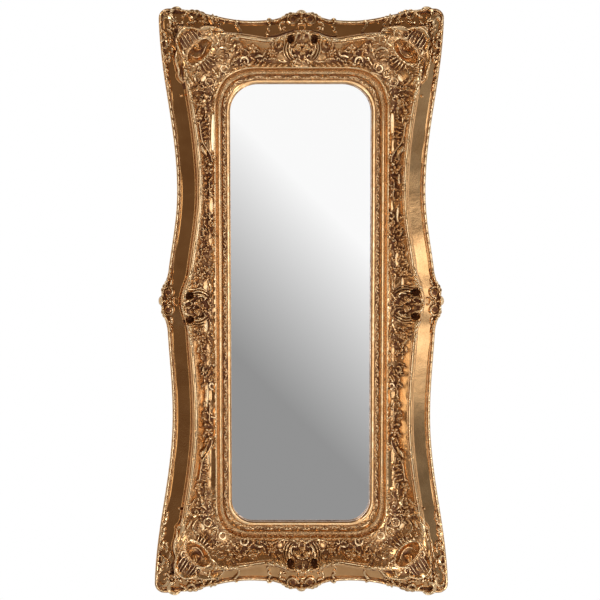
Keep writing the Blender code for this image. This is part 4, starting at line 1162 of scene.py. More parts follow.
GARLAND_DISCS = [
    ("rosette", 16, 11.2, [(313.3, 565.7)]),
    ("boss", 7, 10, [(312.7, 584.1)]),
    ("boss", 4, 8.75, [(295.3, 491.8), (283.3, 503.4)]),
    ("boss", 3.8, 7.5, [(264.3, 424.3), (170.2, 749.9)]),
    ("boss", 8, 11.2, [(279.6, 420)]),
    ("rosette", 15.5, 11.2, [(284.2, 400.4)]),
    ("boss", 6.5, 10, [(293.7, 377.1)]),
    ("boss", 4, 7.5, [(267.7, 391.8), (281.5, 141.3), (280.5, 30.7), (183.3, 717.4), (175.4, 734.6)]),
    ("rosette", 12, 10, [(292.2, 157.3)]),
    ("rosette", 8, 8.75, [(269.8, 211.6)]),
    ("rosette", 17, 10, [(151.2, 769.9)]),
    ("rosette", 12.5, 10, [(84.6, 757.3)]),
]
FIELD_PANELS = [
    ((-271, 579.5), (-272.3, 456.8), 8.4), ((-277.2, 318.9), (-277.8, 263.7), 8.4),
    ((-295.3, 67.5), (-295.3, 30.7), 9.3), ((-287, -128.8), (-287.6, -199.3), 8.4),
    ((-292.5, -248.3), (-293.1, -325), 8.7), ((-294.9, -52.1), (-294.3, -104.2), 7.6),
    ((-289.1, -463), (-288.2, -518.2), 7.6), ((-279.9, 211.6), (-279.9, 168.6), 7.6),
    ((278.1, 579.5), (279, 512), 8.4), ((310.3, 567.2), (311.5, 536.5), 6.4),
    ((298, 389.4), (298, 358.7), 7.3), ((294.9, 288.2), (294.9, 242.2), 7.6),
    ((293.4, 150.2), (293.4, 104.2), 9.3), ((308.7, 73.6), (308.7, 36.8), 5.8),
    ((280.2, -131.8), (279.6, -187), 7), ((278.4, -297.4), (277.8, -401.6), 7),
    ((296.5, 463), (297.4, 432.3), 6.4),
]
print("garland shapes:", count_shapes(GARLAND_RODS, GARLAND_DISCS))

# %% Carving the garlands
FLOWER_TURN = 0.3
PANEL_RISES = (0.0003, 0.0003)
PANEL_LIFT = 0.0024


def quarter_spot(hand, end):
    """The place on the frame of a point given as millimetres from the middle of the frame."""

    def spot(aside, up):
        return hand * np.asarray(aside) * MM, end * np.asarray(up) * MM

    return spot


def lay_panel(shape, first, last, half):
    """A smooth strip of the field that lies level from side to side, between two points."""
    spot = quarter_spot(1, 1)
    bed = [float(ground(*spot(*point))) for point in (first, last)]
    widths = (half * 0.5, half, half, half * 0.5)
    lay_rod(shape, spot, [first, last], widths, PANEL_RISES, "panel", 0, 14, 12, bed, PANEL_LIFT)


garland_pieces = []
for name, hand in (("left_garlands", -1), ("right_garlands", 1)):
    shape = bmesh.new()
    for end in (1, -1):
        lay_tables(shape, quarter_spot(hand, end), GARLAND_RODS, GARLAND_DISCS, FLOWER_TURN)
    for first, last, half in FIELD_PANELS:
        if first[0] * hand > 0.0:
            lay_panel(shape, first, last, half)
    garland_pieces.append(closed_piece(name, shape))
print("faces:", face_counts(*garland_pieces))

# %% [markdown]
# ## Undergrowth
# No ground shows between the big shapes: small leaves, curls, buds and florets fill every gap. Drawing them
# one by one would tell a reader nothing, so they are planted. A map of the frame marks which places are
# taken. A seeded scatter then tries places in the field and in the shields, skips those that are taken or
# are meant to stay polished, and plants small shapes that lean out from the line of the moulding.

# %% Map of what is taken
MAP_STEP = 0.002
MAP_HALF = (0.470, 0.920)
PLANT_STEP = 0.0120
TAKEN_RISE = 0.0015
PLANT_SEED = 11
KEEP_CLEAR = [
    (266.0, 282.0, 452.0, 578.0), (268.0, 288.0, 268.0, 310.0), (281.0, 303.0, 36.0, 70.0),
    (100.0, 176.0, 768.0, 802.0), (36.0, 74.0, 742.0, 768.0), (279.0, 300.0, 112.0, 165.0),
]
OUTSIDE_HEIGHT = 0.038
BOWL_MARGIN = 0.003
HOLE_MARGIN = 1.3
SIDE_STRIPS_TO = 0.600
RIDGE_STRIPS = (0.005, 0.004)
FILLET_STRIPS = (0.009, 0.000)
map_levels = np.arange(-MAP_HALF[1], MAP_HALF[1], MAP_STEP) + MAP_STEP / 2.0
map_across = np.arange(-MAP_HALF[0], MAP_HALF[0], MAP_STEP) + MAP_STEP / 2.0
MAP_POINTS = np.meshgrid(map_across, map_levels)
MAP_GROUND = np.where(outline_depth(*MAP_POINTS) > 0.0, ground(*MAP_POINTS), OUTSIDE_HEIGHT)


def map_cell(across, level):
    """The row and column of the frame's map that a point falls in."""
    cells = (
        np.clip(((np.asarray(place) + half) / MAP_STEP).astype(int), 0, count - 1)
        for place, half, count in zip((level, across), MAP_HALF[::-1], MAP_GROUND.shape)
    )
    return tuple(cells)


def vertex_places(piece):
    """Every vertex of a piece, as arrays of its distances across, towards the wall and up."""
    places = np.empty(3 * len(piece.data.vertices), np.float32)
    piece.data.vertices.foreach_get("co", places)
    return places.reshape(-1, 3).T


def raise_map(heights, piece):
    """Lift a map of heights to the top of a piece."""
    across, backward, level = vertex_places(piece)
    np.maximum.at(heights, map_cell(across, level), -backward)


def may_grow(across, level):
    """Whether a place lies in the field or a shield, and not in a bowl, a hole or a polished gap."""
    on_side = np.abs(level) < SIDE_STRIPS_TO
    beside_ridge = FIELD_START + np.where(on_side, *RIDGE_STRIPS)
    beside_fillet = FILLET_OUTER + np.where(on_side, *FILLET_STRIPS)
    field = (template_depth(across, level) > beside_ridge) & (sight_distance(across, level) > beside_fillet)
    out, side = bowl_place(across, level)
    field &= dome(out, side, BOWL_HALF_WIDTH + BOWL_MARGIN, BOWL_HALF_LENGTH + BOWL_MARGIN) <= 0.0
    hole_reach = (HOLE_MARGIN * HOLE_HALF_LENGTH, HOLE_MARGIN * HOLE_HALF_WIDTH)
    for out, side in middle_places(across, level):
        field &= dome(out - HOLE_OUTWARD, side - HOLE_SPREAD, *hole_reach) <= 0.0
    for low_aside, high_aside, low_up, high_up in KEEP_CLEAR:
        inside_aside = (np.abs(across) > low_aside * MM) & (np.abs(across) < high_aside * MM)
        field &= ~(inside_aside & (np.abs(level) > low_up * MM) & (np.abs(level) < high_up * MM))
    return field


taken_map = MAP_GROUND.copy()
for piece in corner_pieces + middle_pieces + garland_pieces:
    raise_map(taken_map, piece)
taken = taken_map > MAP_GROUND + TAKEN_RISE
print("taken share of the field:", round(float(taken[may_grow(*MAP_POINTS)].mean()), 2))

# %% Planting
LEAF_RISES = (0.0035, 0.0080, 0.0026)
CURL_RISES = (0.0035, 0.0088, 0.0096)
OUT_FROM_BOWL_REACH = 0.100
CROWDED_SHARE = 0.35


def plant_leaf(shape, spot, size, bend):
    """A small lobed leaf that grows from the spot's middle."""
    points = [(-0.9 * size, 0.0), (0.0, 0.25 * bend * size), (0.9 * size, bend * size * 0.9)]
    widths = (size * 0.26, size * 0.60, size * 0.12)
    lay_rod(shape, spot, points, widths, LEAF_RISES, "leaf", 2, 10, 8)


def plant_curl(shape, spot, size, bend):
    """A small curl, like the end of a tendril."""
    points = spiral((0.0, 0.0), size * 0.78, size * 0.30, 200.0, 200.0 + 330.0 * bend, 9)
    widths = (size * 0.15, size * 0.28, size * 0.30)
    lay_rod(shape, spot, points, widths, CURL_RISES, "round", 0, 12, 7)


def plant_floret(shape, spot, size, bend):
    """A small five petalled flower."""
    lay_disc(shape, spot, (0.0, 0.0), size * 0.90, 0.0092, rosette(5), bend, 4, 20)


def plant_bud(shape, spot, size, bend):
    """A long bud."""
    lay_disc(shape, spot, (0.0, 0.0), size * 0.60, 0.0090, boss, bend, 3, 10, 0.62)


def plant_spot(across, level, turn):
    """A spot whose middle is a place on the frame and whose first axis points a given way."""

    def spot(ahead, aside):
        ahead, aside = np.asarray(ahead) * MM, np.asarray(aside) * MM
        return across + ahead * cos(turn) - aside * sin(turn), level + ahead * sin(turn) + aside * cos(turn)

    return spot


def growing_way(across, level, lean):
    """The direction of growth: along the moulding away from the nearest corner, and out from the bowl."""
    step = 0.001
    rise_across = float(outline_depth(across + step, level) - outline_depth(across - step, level))
    rise_level = float(outline_depth(across, level + step) - outline_depth(across, level - step))
    onward = np.array([-rise_level, rise_across])
    bowl_from_middle = np.array(corner_sizes(level)).ravel() - BOWL_CENTRE[0] * MM
    away = np.array([across, level]) - np.array([np.sign(across), np.sign(level)]) * bowl_from_middle
    if np.hypot(*away) < OUT_FROM_BOWL_REACH:
        return float(np.arctan2(away[1], away[0])) + 0.5 * lean
    if onward @ away < 0.0:
        onward = -onward
    return float(np.arctan2(onward[1], onward[0])) + lean


PLANTS = [plant_leaf, plant_curl, plant_floret, plant_bud]
PLANT_SHARES = [0.56, 0.22, 0.10, 0.12]
random = np.random.default_rng(PLANT_SEED)
tries = np.meshgrid(*(np.arange(0.006, end, PLANT_STEP) for end in (0.440, 0.880)))
tries = np.column_stack([axis.ravel() for axis in tries])
tries = tries + random.uniform(-0.3, 0.3, tries.shape) * PLANT_STEP
beds = {(hand, end): bmesh.new() for hand in (-1, 1) for end in (-1, 1)}
planted = 0
for order in random.permutation(len(tries)):
    aside, up = tries[order]
    size = float(random.uniform(7.0, 10.0))
    lean = float(random.choice([-1.0, 1.0]) * random.uniform(0.35, 1.2))
    kind = PLANTS[int(random.choice(len(PLANTS), p=PLANT_SHARES))]
    bend = float(random.choice([-1.0, 1.0]) * random.uniform(0.6, 1.0))
    if not may_grow(aside, up):
        continue
    for (hand, end), shape in beds.items():
        across, level = hand * aside, end * up
        row, column = map_cell(across, level)
        if taken[row - 1 : row + 2, column - 1 : column + 2].mean() > CROWDED_SHARE:
            continue
        way = growing_way(across, level, lean * hand * end)
        kind(shape, plant_spot(across, level, way), size, bend * hand * end)
        planted += 1
undergrowth_pieces = []
for (hand, end), shape in beds.items():
    name = ("upper" if end > 0 else "lower") + ("_right" if hand > 0 else "_left") + "_undergrowth"
    undergrowth_pieces.append(closed_piece(name, shape))
print("planted:", planted, "faces:", face_counts(*undergrowth_pieces))

# %% [markdown]
# ## Running leaves at the glass
# A vine winds along the band nearest the glass, with two leaves in each of its bends. A carver would step the
# pattern off with dividers so that a whole number of bends fits. The code does the same: it divides the
# length of the sight edge, and each bend is laid in a spot that follows the edge round the corners.

# %% A spot that follows the sight edge
closed_sight = np.vstack([SIGHT_MARKS, SIGHT_MARKS[:1]])
closed_outward = np.vstack([SIGHT_OUTWARD, SIGHT_OUTWARD[:1]])
SIGHT_RUN = np.concatenate([[0.0], np.cumsum(np.hypot(*np.diff(closed_sight, axis=0).T))])
VINE_MIDDLE = 18.0
VINE_SWING = 4.2
VINE_BEND_LENGTH = 0.0285
VINE_BENDS = 2 * round(SIGHT_RUN[-1] / VINE_BEND_LENGTH / 2)
VINE_STEP = SIGHT_RUN[-1] / VINE_BENDS / MM


def band_spot(run, out):
    """The place at a run along the sight edge and a distance out from it, both in millimetres."""
    at = np.mod(np.asarray(run) * MM, SIGHT_RUN[-1])
    across, level = (np.interp(at, SIGHT_RUN, closed_sight[:, axis]) for axis in (0, 1))
    outward = [np.interp(at, SIGHT_RUN, closed_outward[:, axis]) for axis in (0, 1)]
    return across + outward[0] * np.asarray(out) * MM, level + outward[1] * np.asarray(out) * MM


print("sight edge:", round(float(SIGHT_RUN[-1]), 3), "m, bends:", VINE_BENDS)

# %% Laying the vine
VINE_STEM = [(0.0, 0.0), (0.22, 0.80), (0.5, 1.0), (0.78, 0.80), (1.0, 0.0)]
VINE_LEAVES = [
    ([(0.02, 0.75), (0.24, 0.15), (0.46, -0.95)], (1.6, 3.6, 1.4)),
    ([(0.40, 0.90), (0.62, 0.10), (0.80, -1.25)], (1.4, 3.2, 1.2)),
]
VINE_STEM_SIZES = ((1.5, 2.0, 1.5), (0.0044, 0.0056, 0.0044))
VINE_LEAF_RISES = (0.0034, 0.0064, 0.0030)
bands = bmesh.new()
for bend in range(VINE_BENDS):
    side = 1 if bend % 2 else -1

    def bend_points(marks):
        return [((bend + run) * VINE_STEP, VINE_MIDDLE + side * VINE_SWING * out) for run, out in marks]

    lay_rod(bands, band_spot, bend_points(VINE_STEM), *VINE_STEM_SIZES, steps=10, around=8)
    for marks, widths in VINE_LEAVES:
        lay_rod(bands, band_spot, bend_points(marks), widths, VINE_LEAF_RISES, steps=8, around=8)
running_leaves = closed_piece("running_leaves", bands)
print("faces:", face_counts(running_leaves))

# %% The gilt pieces
carved_pieces = [*corner_pieces, *middle_pieces, *garland_pieces, *undergrowth_pieces, running_leaves]
GILT_PIECES = [outer_moulding, inner_moulding, *carved_pieces]
triangles = {piece.name: sum(len(face.vertices) - 2 for face in piece.data.polygons) for piece in GILT_PIECES}
print("triangles:", triangles, "in all:", sum(triangles.values()))

# %% [markdown]
# ## Reading the high and low places
# The gold is bronze coloured leaf over red clay, toned down with a dark glaze. The glaze stays in the
# hollows of the carving and has been rubbed off the high places, which are polished and catch the light.
# The paler gold laid on the high places is partly that wear and partly painted highlight, and the corner
# bowls and crest cabochons are given painted shade in the glaze colour.
# The gilder's eye for high and low becomes a number on every vertex: a map of the frame's heights is
# blurred over a few millimetres, and each vertex is compared with it. A number of 0.5 is level ground.

# %% Height map and the hollow attribute
MAP_BLUR = 0.0065
HOLLOW_SCALE = 0.013
BAND_HOLLOW_SHARE = 0.25
COVER_REACH = 0.004
# Painted shade: the lowest hollow number on a corner bowl's floor, which darkens it towards the glaze colour.
BOWL_PAINTED_SHADE = 0.68
BOWL_POLISH = 0.35
# Painted dark reflection: the crest cabochons take nearly the full glaze colour.
CABOCHON_PAINTED_REFLECTION = 0.95
CABOCHON_INWARD = 0.0227
CABOCHON_ASIDE = 0.0261
CABOCHON_REACH = 0.0075
# How far round a side medallion the ground is made darker, and by how much.
DARKER_MEDALLION_REACH = 0.044
DARKER_MEDALLION_SHARE = 0.12
# Where the sanded band's grain starts and how fast it fades in. It lies on the rails only, so its darkening
# there is partly painted shade.
SAND_FROM = 0.52
SAND_FADE = 0.10
LEAF_BAND = (0.0110, 0.0250)
SAND_BAND = (0.0275, 0.0415)
RIM_BAND = (0.0005, 0.0068)
BOWL_SHARE = 0.1
BOWL_FLOOR_REACH = 0.004
POLISH_FADE = 0.003


def blur(heights, reach):
    """A height map smoothed by a bell curve, first along one side and then along the other."""
    steps = np.arange(-int(3 * reach / MAP_STEP), int(3 * reach / MAP_STEP) + 1) * MAP_STEP
    bell = np.exp(-((steps / reach) ** 2) / 2.0)
    bell /= bell.sum()
    for axis in (0, 1):
        heights = np.apply_along_axis(np.convolve, axis, heights, bell, mode="same")
    return heights


def add_number(piece, name, values):
    """Keep a number for every vertex of a piece, for its material to read."""
    layer = piece.data.attributes.new(name, "FLOAT", "POINT")
    layer.data.foreach_set("value", np.asarray(values, np.float32))


def on_cabochon(across, level):
    """Where points lie on the smooth ovals of the crests."""
    rail_inward = half_height(0.0, level) - np.abs(level)
    rail = np.hypot(rail_inward - CABOCHON_INWARD, np.abs(across) - CABOCHON_ASIDE)
    side = np.hypot(half_width(0.0) - np.abs(across) - CABOCHON_INWARD, np.abs(level) - CABOCHON_ASIDE)
    return np.minimum(rail, side) < CABOCHON_REACH


def between(values, limits):
    """Which values lie between two limits."""
    return (values > limits[0]) & (values < limits[1])


height_map = MAP_GROUND.copy()
for piece in GILT_PIECES:
    raise_map(height_map, piece)
near_average = blur(height_map, MAP_BLUR)
covered = blur((height_map > MAP_GROUND + TAKEN_RISE).astype(float), COVER_REACH)
for piece in GILT_PIECES:
    across, backward, level = vertex_places(piece)
    cell = map_cell(across, level)
    sight = sight_distance(across, level)
    depth = template_depth(across, level)
    is_inner = piece is inner_moulding
    below = near_average[cell] + backward
    below[~between(sight, LEAF_BAND) & (sight < FILLET_OUTER)] *= BAND_HOLLOW_SHARE
    hollow_share = np.clip(0.5 + below / HOLLOW_SCALE, 0.0, 1.0)
    in_bowl = dome(*bowl_place(across, level), BOWL_HALF_WIDTH, BOWL_HALF_LENGTH) > BOWL_SHARE
    in_bowl &= -backward < MAP_GROUND[cell] + BOWL_FLOOR_REACH
    # Painted shade: the floor of each deep corner bowl is darkened towards the glaze colour.
    hollow_share[in_bowl] = np.maximum(hollow_share[in_bowl], BOWL_PAINTED_SHADE)
    # Painted dark reflection on the smooth ovals of the crests, in the glaze colour.
    hollow_share[on_cabochon(across, level)] = CABOCHON_PAINTED_REFLECTION
    # The ground round each side medallion is made a little darker.
    on_medallion = np.hypot(*middle_places(across, level)[1]) < DARKER_MEDALLION_REACH
    add_number(piece, "hollow", np.clip(hollow_share + DARKER_MEDALLION_SHARE * on_medallion, 0.0, 1.0))
    # The sanded band is grained only on the rails: the grain is real, its darkening of the rails alone is
    # painted shade.
    on_sand = between(sight, SAND_BAND) & is_inner
    add_number(piece, "sand", on_sand * np.clip((np.abs(level) - SAND_FROM) / SAND_FADE, 0.0, 1.0))
    from_ends = np.minimum(depth - HOLLOW_START, RIDGE_GROOVE_AT - depth)
    smooth = np.clip(from_ends / POLISH_FADE, 0.0, 1.0)
    smooth *= (piece is outer_moulding) | between(sight, RIM_BAND) & is_inner
    in_field = (depth > FIELD_START) & (sight > FILLET_OUTER) & is_inner
    polish = np.where(in_field, np.clip(1.0 - 3.0 * covered[cell], 0.0, 1.0), smooth)
    add_number(piece, "polish", np.maximum(polish, BOWL_POLISH * in_bowl))
print("height map:", height_map.shape, "highest:", round(float(height_map.max()), 4))

# %% [markdown]
# ## Patina as a node group
# Every gilt or bare surface on the mirror needs the same three things: a colour that lies in the hollows,
# clouds of lighter and darker tone, and fine grain. They are worked out once in a node group, which gives
# out only a colour and plain values, and each material feeds it its own colours.

# %% Patina group
def socket(group, name, kind, way, default=None):
    """A named input or output of a node group."""
    made = group.interface.new_socket(name=name, in_out=way, socket_type="NodeSocket" + kind)
    if default is not None:
        made.default_value = default


def math_node(tree, operation, first, second=None, third=None):
    """A math node. Each value is a number, or an output that is linked to it."""
    node = tree.nodes.new("ShaderNodeMath")
    node.operation = operation
    for place, value in enumerate(value for value in (first, second, third) if value is not None):
        if isinstance(value, (int, float)):
            node.inputs[place].default_value = value
        else:
            tree.links.new(value, node.inputs[place])
    return node.outputs[0]


def ramp(tree, value, start, end, low=0.0, high=1.0, kind="SMOOTHSTEP"):
    """A value that goes from low to high as another goes from start to end."""
    node = tree.nodes.new("ShaderNodeMapRange")
    node.interpolation_type = kind
    tree.links.new(value, node.inputs["Value"])
    limits = (("From Min", start), ("From Max", end), ("To Min", low), ("To Max", high))
    for name, number in limits:
        node.inputs[name].default_value = number
    return node.outputs["Result"]


def noise(tree, where, scale, detail=3.0, roughness=0.55):
    """Cloudy noise on some coordinates."""
    node = tree.nodes.new("ShaderNodeTexNoise")
    tree.links.new(where, node.inputs["Vector"])
    node.inputs["Scale"].default_value = scale
    node.inputs["Detail"].default_value = detail
    node.inputs["Roughness"].default_value = roughness
    return node.outputs["Fac"]


def blend_colour(tree, share, first, second, way="MIX"):
    """A mix of two colours. A colour is a tuple or a linked output, and the share a number or an output."""
    node = tree.nodes.new("ShaderNodeMix")
    node.data_type = "RGBA"
    node.blend_type = way
    targets = [end for end in node.inputs if end.type == "RGBA"]
    for value, target in zip((share, first, second), (node.inputs["Factor"], *targets)):
        if isinstance(value, (float, tuple)):
            target.default_value = value
        else:
            tree.links.new(value, target)
    return next(end for end in node.outputs if end.type == "RGBA")


def object_place(tree):
    """Where a point of a piece lies, from the object's origin."""
    return tree.nodes.new("ShaderNodeTexCoord").outputs["Object"]


def stretched(tree, place, scale):
    """Coordinates that are stretched by a scale for each axis."""
    node = tree.nodes.new("ShaderNodeMapping")
    node.inputs["Scale"].default_value = scale
    tree.links.new(place, node.inputs["Vector"])
    return node.outputs["Vector"]


PATINA_INPUTS = [
    ("Hollow", "Float", 0.5), ("Grain", "Float", 0.0), ("Polished", "Float", 0.0), ("Leaf", "Color", None),
    ("Rubbed And Highlit", "Color", None), ("Glaze And Shade", "Color", None), ("Polish", "Float", 0.25),
]
PATINA_OUTPUTS = [("Color", "Color"), ("Roughness", "Float"), ("Metallic", "Float"), ("Height", "Float")]
CLOUD_SCALE = 14.0
MOTTLE_SCALE = 55.0
SPECKLE_SCALE = 420.0
WAVE_SCALE = 9.0
CLOUD_SHARE = 0.34
LEVEL_GROUND = 0.45
SMOKED_TONE = (0.78, 0.72, 0.66, 1.0)
FULL_TONE = (1.0, 1.0, 1.0, 1.0)
# How far the grain darkens the colour: real grain, and painted shade on the rails' sanded band.
GRAIN_DIRT_AND_SHADE = 0.38
patina = bpy.data.node_groups.new("patina", "ShaderNodeTree")
for name, kind, default in PATINA_INPUTS:
    socket(patina, name, kind, "INPUT", default)
for name, kind in PATINA_OUTPUTS:
    socket(patina, name, kind, "OUTPUT")
given = patina.nodes.new("NodeGroupInput").outputs
leave = patina.nodes.new("NodeGroupOutput")
where = object_place(patina)
calc = partial(math_node, patina)
clouds = noise(patina, where, CLOUD_SCALE)
mottle = noise(patina, where, MOTTLE_SCALE)
speckle = noise(patina, where, SPECKLE_SCALE, 4.0, 0.7)
handled = calc("SUBTRACT", 1.0, given["Polished"])
relief = calc("MULTIPLY", calc("SUBTRACT", given["Hollow"], 0.5), handled)
shifted = calc("MULTIPLY_ADD", calc("ADD", clouds, mottle), CLOUD_SHARE, -CLOUD_SHARE)
low_place = calc("ADD", calc("ADD", relief, LEVEL_GROUND), calc("MULTIPLY", shifted, handled))
# Glaze colour in the low places: real glaze in the carving's hollows, and painted shade where the hollow
# number is raised for the corner bowls and the crest cabochons. The side medallions are darkened through it
# too.
glaze_and_shade_share = ramp(patina, low_place, 0.50, 0.80)
# Paler gold on the high places: the leaf rubbed clear of glaze, and a painted highlight that makes the crests
# read cream.
rubbed_and_highlit = ramp(patina, low_place, 0.48, 0.30)
grainy = calc("MULTIPLY", given["Grain"], ramp(patina, speckle, 0.40, 0.62))
gold = blend_colour(patina, rubbed_and_highlit, given["Leaf"], given["Rubbed And Highlit"])
tone = blend_colour(patina, ramp(patina, clouds, 0.25, 0.75), SMOKED_TONE, FULL_TONE)
toned_gold = blend_colour(patina, 1.0, gold, tone, "MULTIPLY")
dirt_and_shade = calc("MAXIMUM", glaze_and_shade_share, calc("MULTIPLY", grainy, GRAIN_DIRT_AND_SHADE))
patina.links.new(blend_colour(patina, dirt_and_shade, toned_gold, given["Glaze And Shade"]), leave.inputs["Color"])
rough = calc("MULTIPLY_ADD", mottle, 0.16, calc("ADD", given["Polish"], -0.08))
for cause, change in ((dirt_and_shade, 0.30), (given["Polished"], -0.09), (rubbed_and_highlit, -0.07)):
    rough = calc("MULTIPLY_ADD", cause, change, rough)
patina.links.new(rough, leave.inputs["Roughness"])
patina.links.new(calc("MULTIPLY_ADD", glaze_and_shade_share, -0.55, 1.0), leave.inputs["Metallic"])
waves = calc("MULTIPLY", noise(patina, where, WAVE_SCALE, 0.0), given["Polished"])
uneven = calc("MULTIPLY_ADD", mottle, 0.6, calc("MULTIPLY", speckle, 0.25))
uneven = calc("ADD", uneven, calc("MULTIPLY", waves, 8.0))
patina.links.new(calc("MULTIPLY_ADD", grainy, 1.6, uneven), leave.inputs["Height"])
print("patina outputs:", [made.name for made in leave.inputs if made.name])

# %% [markdown]
# ## Antique gilding
# The gilding material reads the hollow, sand and polish numbers and gives the patina group its colours: warm
# bronze gold, paler gold where it is rubbed, which also serves as painted highlight on the high places, and
# umber glaze, which also serves as painted shade in the corner bowls, as painted dark reflection on the crest
# cabochons and as painted shade on the rails' sanded band. The group's height feeds a bump, so that the
# surface has the slight unevenness of leaf over gesso. The rear of the frame is bare wood, in the same group.

# %% Gilding and bare wood
def new_material(name):
    """A material with a Principled BSDF, and its nodes and links."""
    material = bpy.data.materials.new(name)
    material.use_nodes = True
    tree = material.node_tree
    tree.nodes.clear()
    output = tree.nodes.new("ShaderNodeOutputMaterial")
    shader = tree.nodes.new("ShaderNodeBsdfPrincipled")
    tree.links.new(shader.outputs["BSDF"], output.inputs["Surface"])
    return material, tree, shader


READINGS = (("hollow", "Hollow"), ("sand", "Grain"), ("polish", "Polished"))


def patina_material(name, leaf, rubbed_and_highlit, glaze_and_shade, polish, bump_depth, metallic=True, readings=READINGS):
    """A material that takes its colour, gloss and bump from the patina group."""
    material, tree, shader = new_material(name)
    group = tree.nodes.new("ShaderNodeGroup")
    group.node_tree = patina
    for target, colour in (("Leaf", leaf), ("Rubbed And Highlit", rubbed_and_highlit), ("Glaze And Shade", glaze_and_shade)):
        group.inputs[target].default_value = (*colour, 1.0)
    group.inputs["Polish"].default_value = polish
    for number, target in readings:
        reader = tree.nodes.new("ShaderNodeAttribute")
        reader.attribute_name = number
        tree.links.new(reader.outputs["Fac"], group.inputs[target])
    tree.links.new(group.outputs["Color"], shader.inputs["Base Color"])
    tree.links.new(group.outputs["Roughness"], shader.inputs["Roughness"])
    if metallic:
        tree.links.new(group.outputs["Metallic"], shader.inputs["Metallic"])
    bump = tree.nodes.new("ShaderNodeBump")
    bump.inputs["Distance"].default_value = bump_depth
    bump.inputs["Strength"].default_value = 0.5
    tree.links.new(group.outputs["Height"], bump.inputs["Height"])
    tree.links.new(bump.outputs["Normal"], shader.inputs["Normal"])
    return material


GOLD_LEAF = (0.78, 0.48, 0.235)
# Paler gold for the high places: rubbed wear and painted highlight.
RUBBED_AND_HIGHLIT_GOLD = (0.95, 0.73, 0.46)
# Umber glaze of the hollows, also used as painted shade in the corner bowls, on the crest cabochons and on
# the rails' sanded band.
UMBER_GLAZE_AND_SHADE = (0.150, 0.050, 0.017)
antique_gilt = patina_material("antique_gilt_finish", GOLD_LEAF, RUBBED_AND_HIGHLIT_GOLD, UMBER_GLAZE_AND_SHADE, 0.22, 0.0007)
PALE_WOOD = (0.36, 0.24, 0.14)
DARK_WOOD = (0.12, 0.07, 0.04)
bare_wood = patina_material("bare_wood_finish", PALE_WOOD, PALE_WOOD, DARK_WOOD, 0.75, 0.0009, False)
for piece in GILT_PIECES:
    piece.data.materials.append(antique_gilt)
    piece.data.materials.append(bare_wood)
print("gilt pieces:", [piece.name for piece in GILT_PIECES])

# %% [markdown]
# ## Glass, back board and hanging plates
# The three kinds of plain part come from the CAD model as they are, and only get a finish. The looking glass
# is silver that is nearly flawless, with a faint bloom and small grey specks where it has aged. The board is
# pale softwood whose grain runs upwards, and the plates are steel with a dull, slightly spotted surface. None
# of them has the carving's numbers, so the patina group falls back on level ground.

# %% Finishes of the CAD parts
SILVER = (0.95, 0.95, 0.95)
AGED_SILVER = (0.80, 0.80, 0.79)
SPECKS_PER_METRE = 160.0
BLOOM_PER_METRE = 9.0
silvered, tree, shader = new_material("silvered_finish")
place = object_place(tree)
bloom = ramp(tree, noise(tree, place, BLOOM_PER_METRE, 2.0), 0.45, 0.75)
specks = ramp(tree, noise(tree, place, SPECKS_PER_METRE, 2.0), 0.78, 0.84)
aged = math_node(tree, "MULTIPLY_ADD", bloom, 0.02, math_node(tree, "MULTIPLY", specks, 0.5))
tree.links.new(blend_colour(tree, aged, (*SILVER, 1.0), (*AGED_SILVER, 1.0)), shader.inputs["Base Color"])
tree.links.new(math_node(tree, "MULTIPLY", specks, 0.12), shader.inputs["Roughness"])
shader.inputs["Metallic"].default_value = 1.0

GRAIN_STRETCH = (60.0, 60.0, 2.2)
board_wood = patina_material("board_wood_finish", PALE_WOOD, PALE_WOOD, DARK_WOOD, 0.75, 0.0006, False, ())
tree = board_wood.node_tree
group = next(node for node in tree.nodes if node.type == "GROUP")
along_grain = stretched(tree, object_place(tree), GRAIN_STRETCH)
grain = ramp(tree, noise(tree, along_grain, 1.0, 5.0, 0.6), 0.35, 0.75, 0.30, 0.80)
tree.links.new(grain, group.inputs["Hollow"])
STEEL = (0.42, 0.41, 0.39)
BRIGHT_STEEL = (0.55, 0.54, 0.52)
RUST = (0.16, 0.08, 0.04)
plate_steel = patina_material("plate_steel_finish", STEEL, BRIGHT_STEEL, RUST, 0.38, 0.0004, True, ())
FINISHES = {
    "mirror_glass": silvered, "back_board": board_wood,
    "hanging_plate_left": plate_steel, "hanging_plate_right": plate_steel,
}
for name, finish in FINISHES.items():
    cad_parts[name].data.materials.clear()
    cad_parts[name].data.materials.append(finish)
print("finished CAD parts:", list(FINISHES))

# %% [markdown]
# ## The studio
# The mirror hangs in front of a white wall over a pale floor. The wall and the screens only shine: a camera
# sees through them to a white background, so the mirror can be looked at from any side. What a looking glass
# shows is the room in front of it, so a screen stands behind the camera that fades from white at the upper
# right to grey, and the rest of the room is dim. Round that screen runs a brighter border, which the glass
# doesn't show but the faces of the carving do. A window wall on the right gives the polished hollow its
# light: it is brightest at two heights near the middle and softly streaked, as the hollow looks in the photo.

# %% Studio
CAMERA_PLACE = (-0.45, -5.2, 0.30)
SCREEN_DISTANCE = 6.4


def glow(name, colour=(1.0, 1.0, 1.0)):
    """A material that only shines, for the screens of the studio."""
    material, tree, shader = new_material(name)
    shader.inputs["Base Color"].default_value = (0.0, 0.0, 0.0, 1.0)
    shader.inputs["Specular IOR Level"].default_value = 0.0
    shader.inputs["Emission Color"].default_value = (*colour, 1.0)
    shader.inputs["Emission Strength"].default_value = 1.0
    return material, tree, shader


def screen(name, width, height, place, turn, material, seen=False):
    """A flat stage panel of a size, turned and placed. A camera sees through it unless it is to be seen."""
    shape = bmesh.new()
    bmesh.ops.create_grid(shape, x_segments=1, y_segments=1, size=0.5)
    bmesh.ops.scale(shape, vec=(width, height, 1.0), verts=shape.verts)
    panel = new_piece(name, shape)
    panel.location = place
    panel.rotation_euler = turn
    panel.data.materials.append(material)
    panel.visible_camera = seen


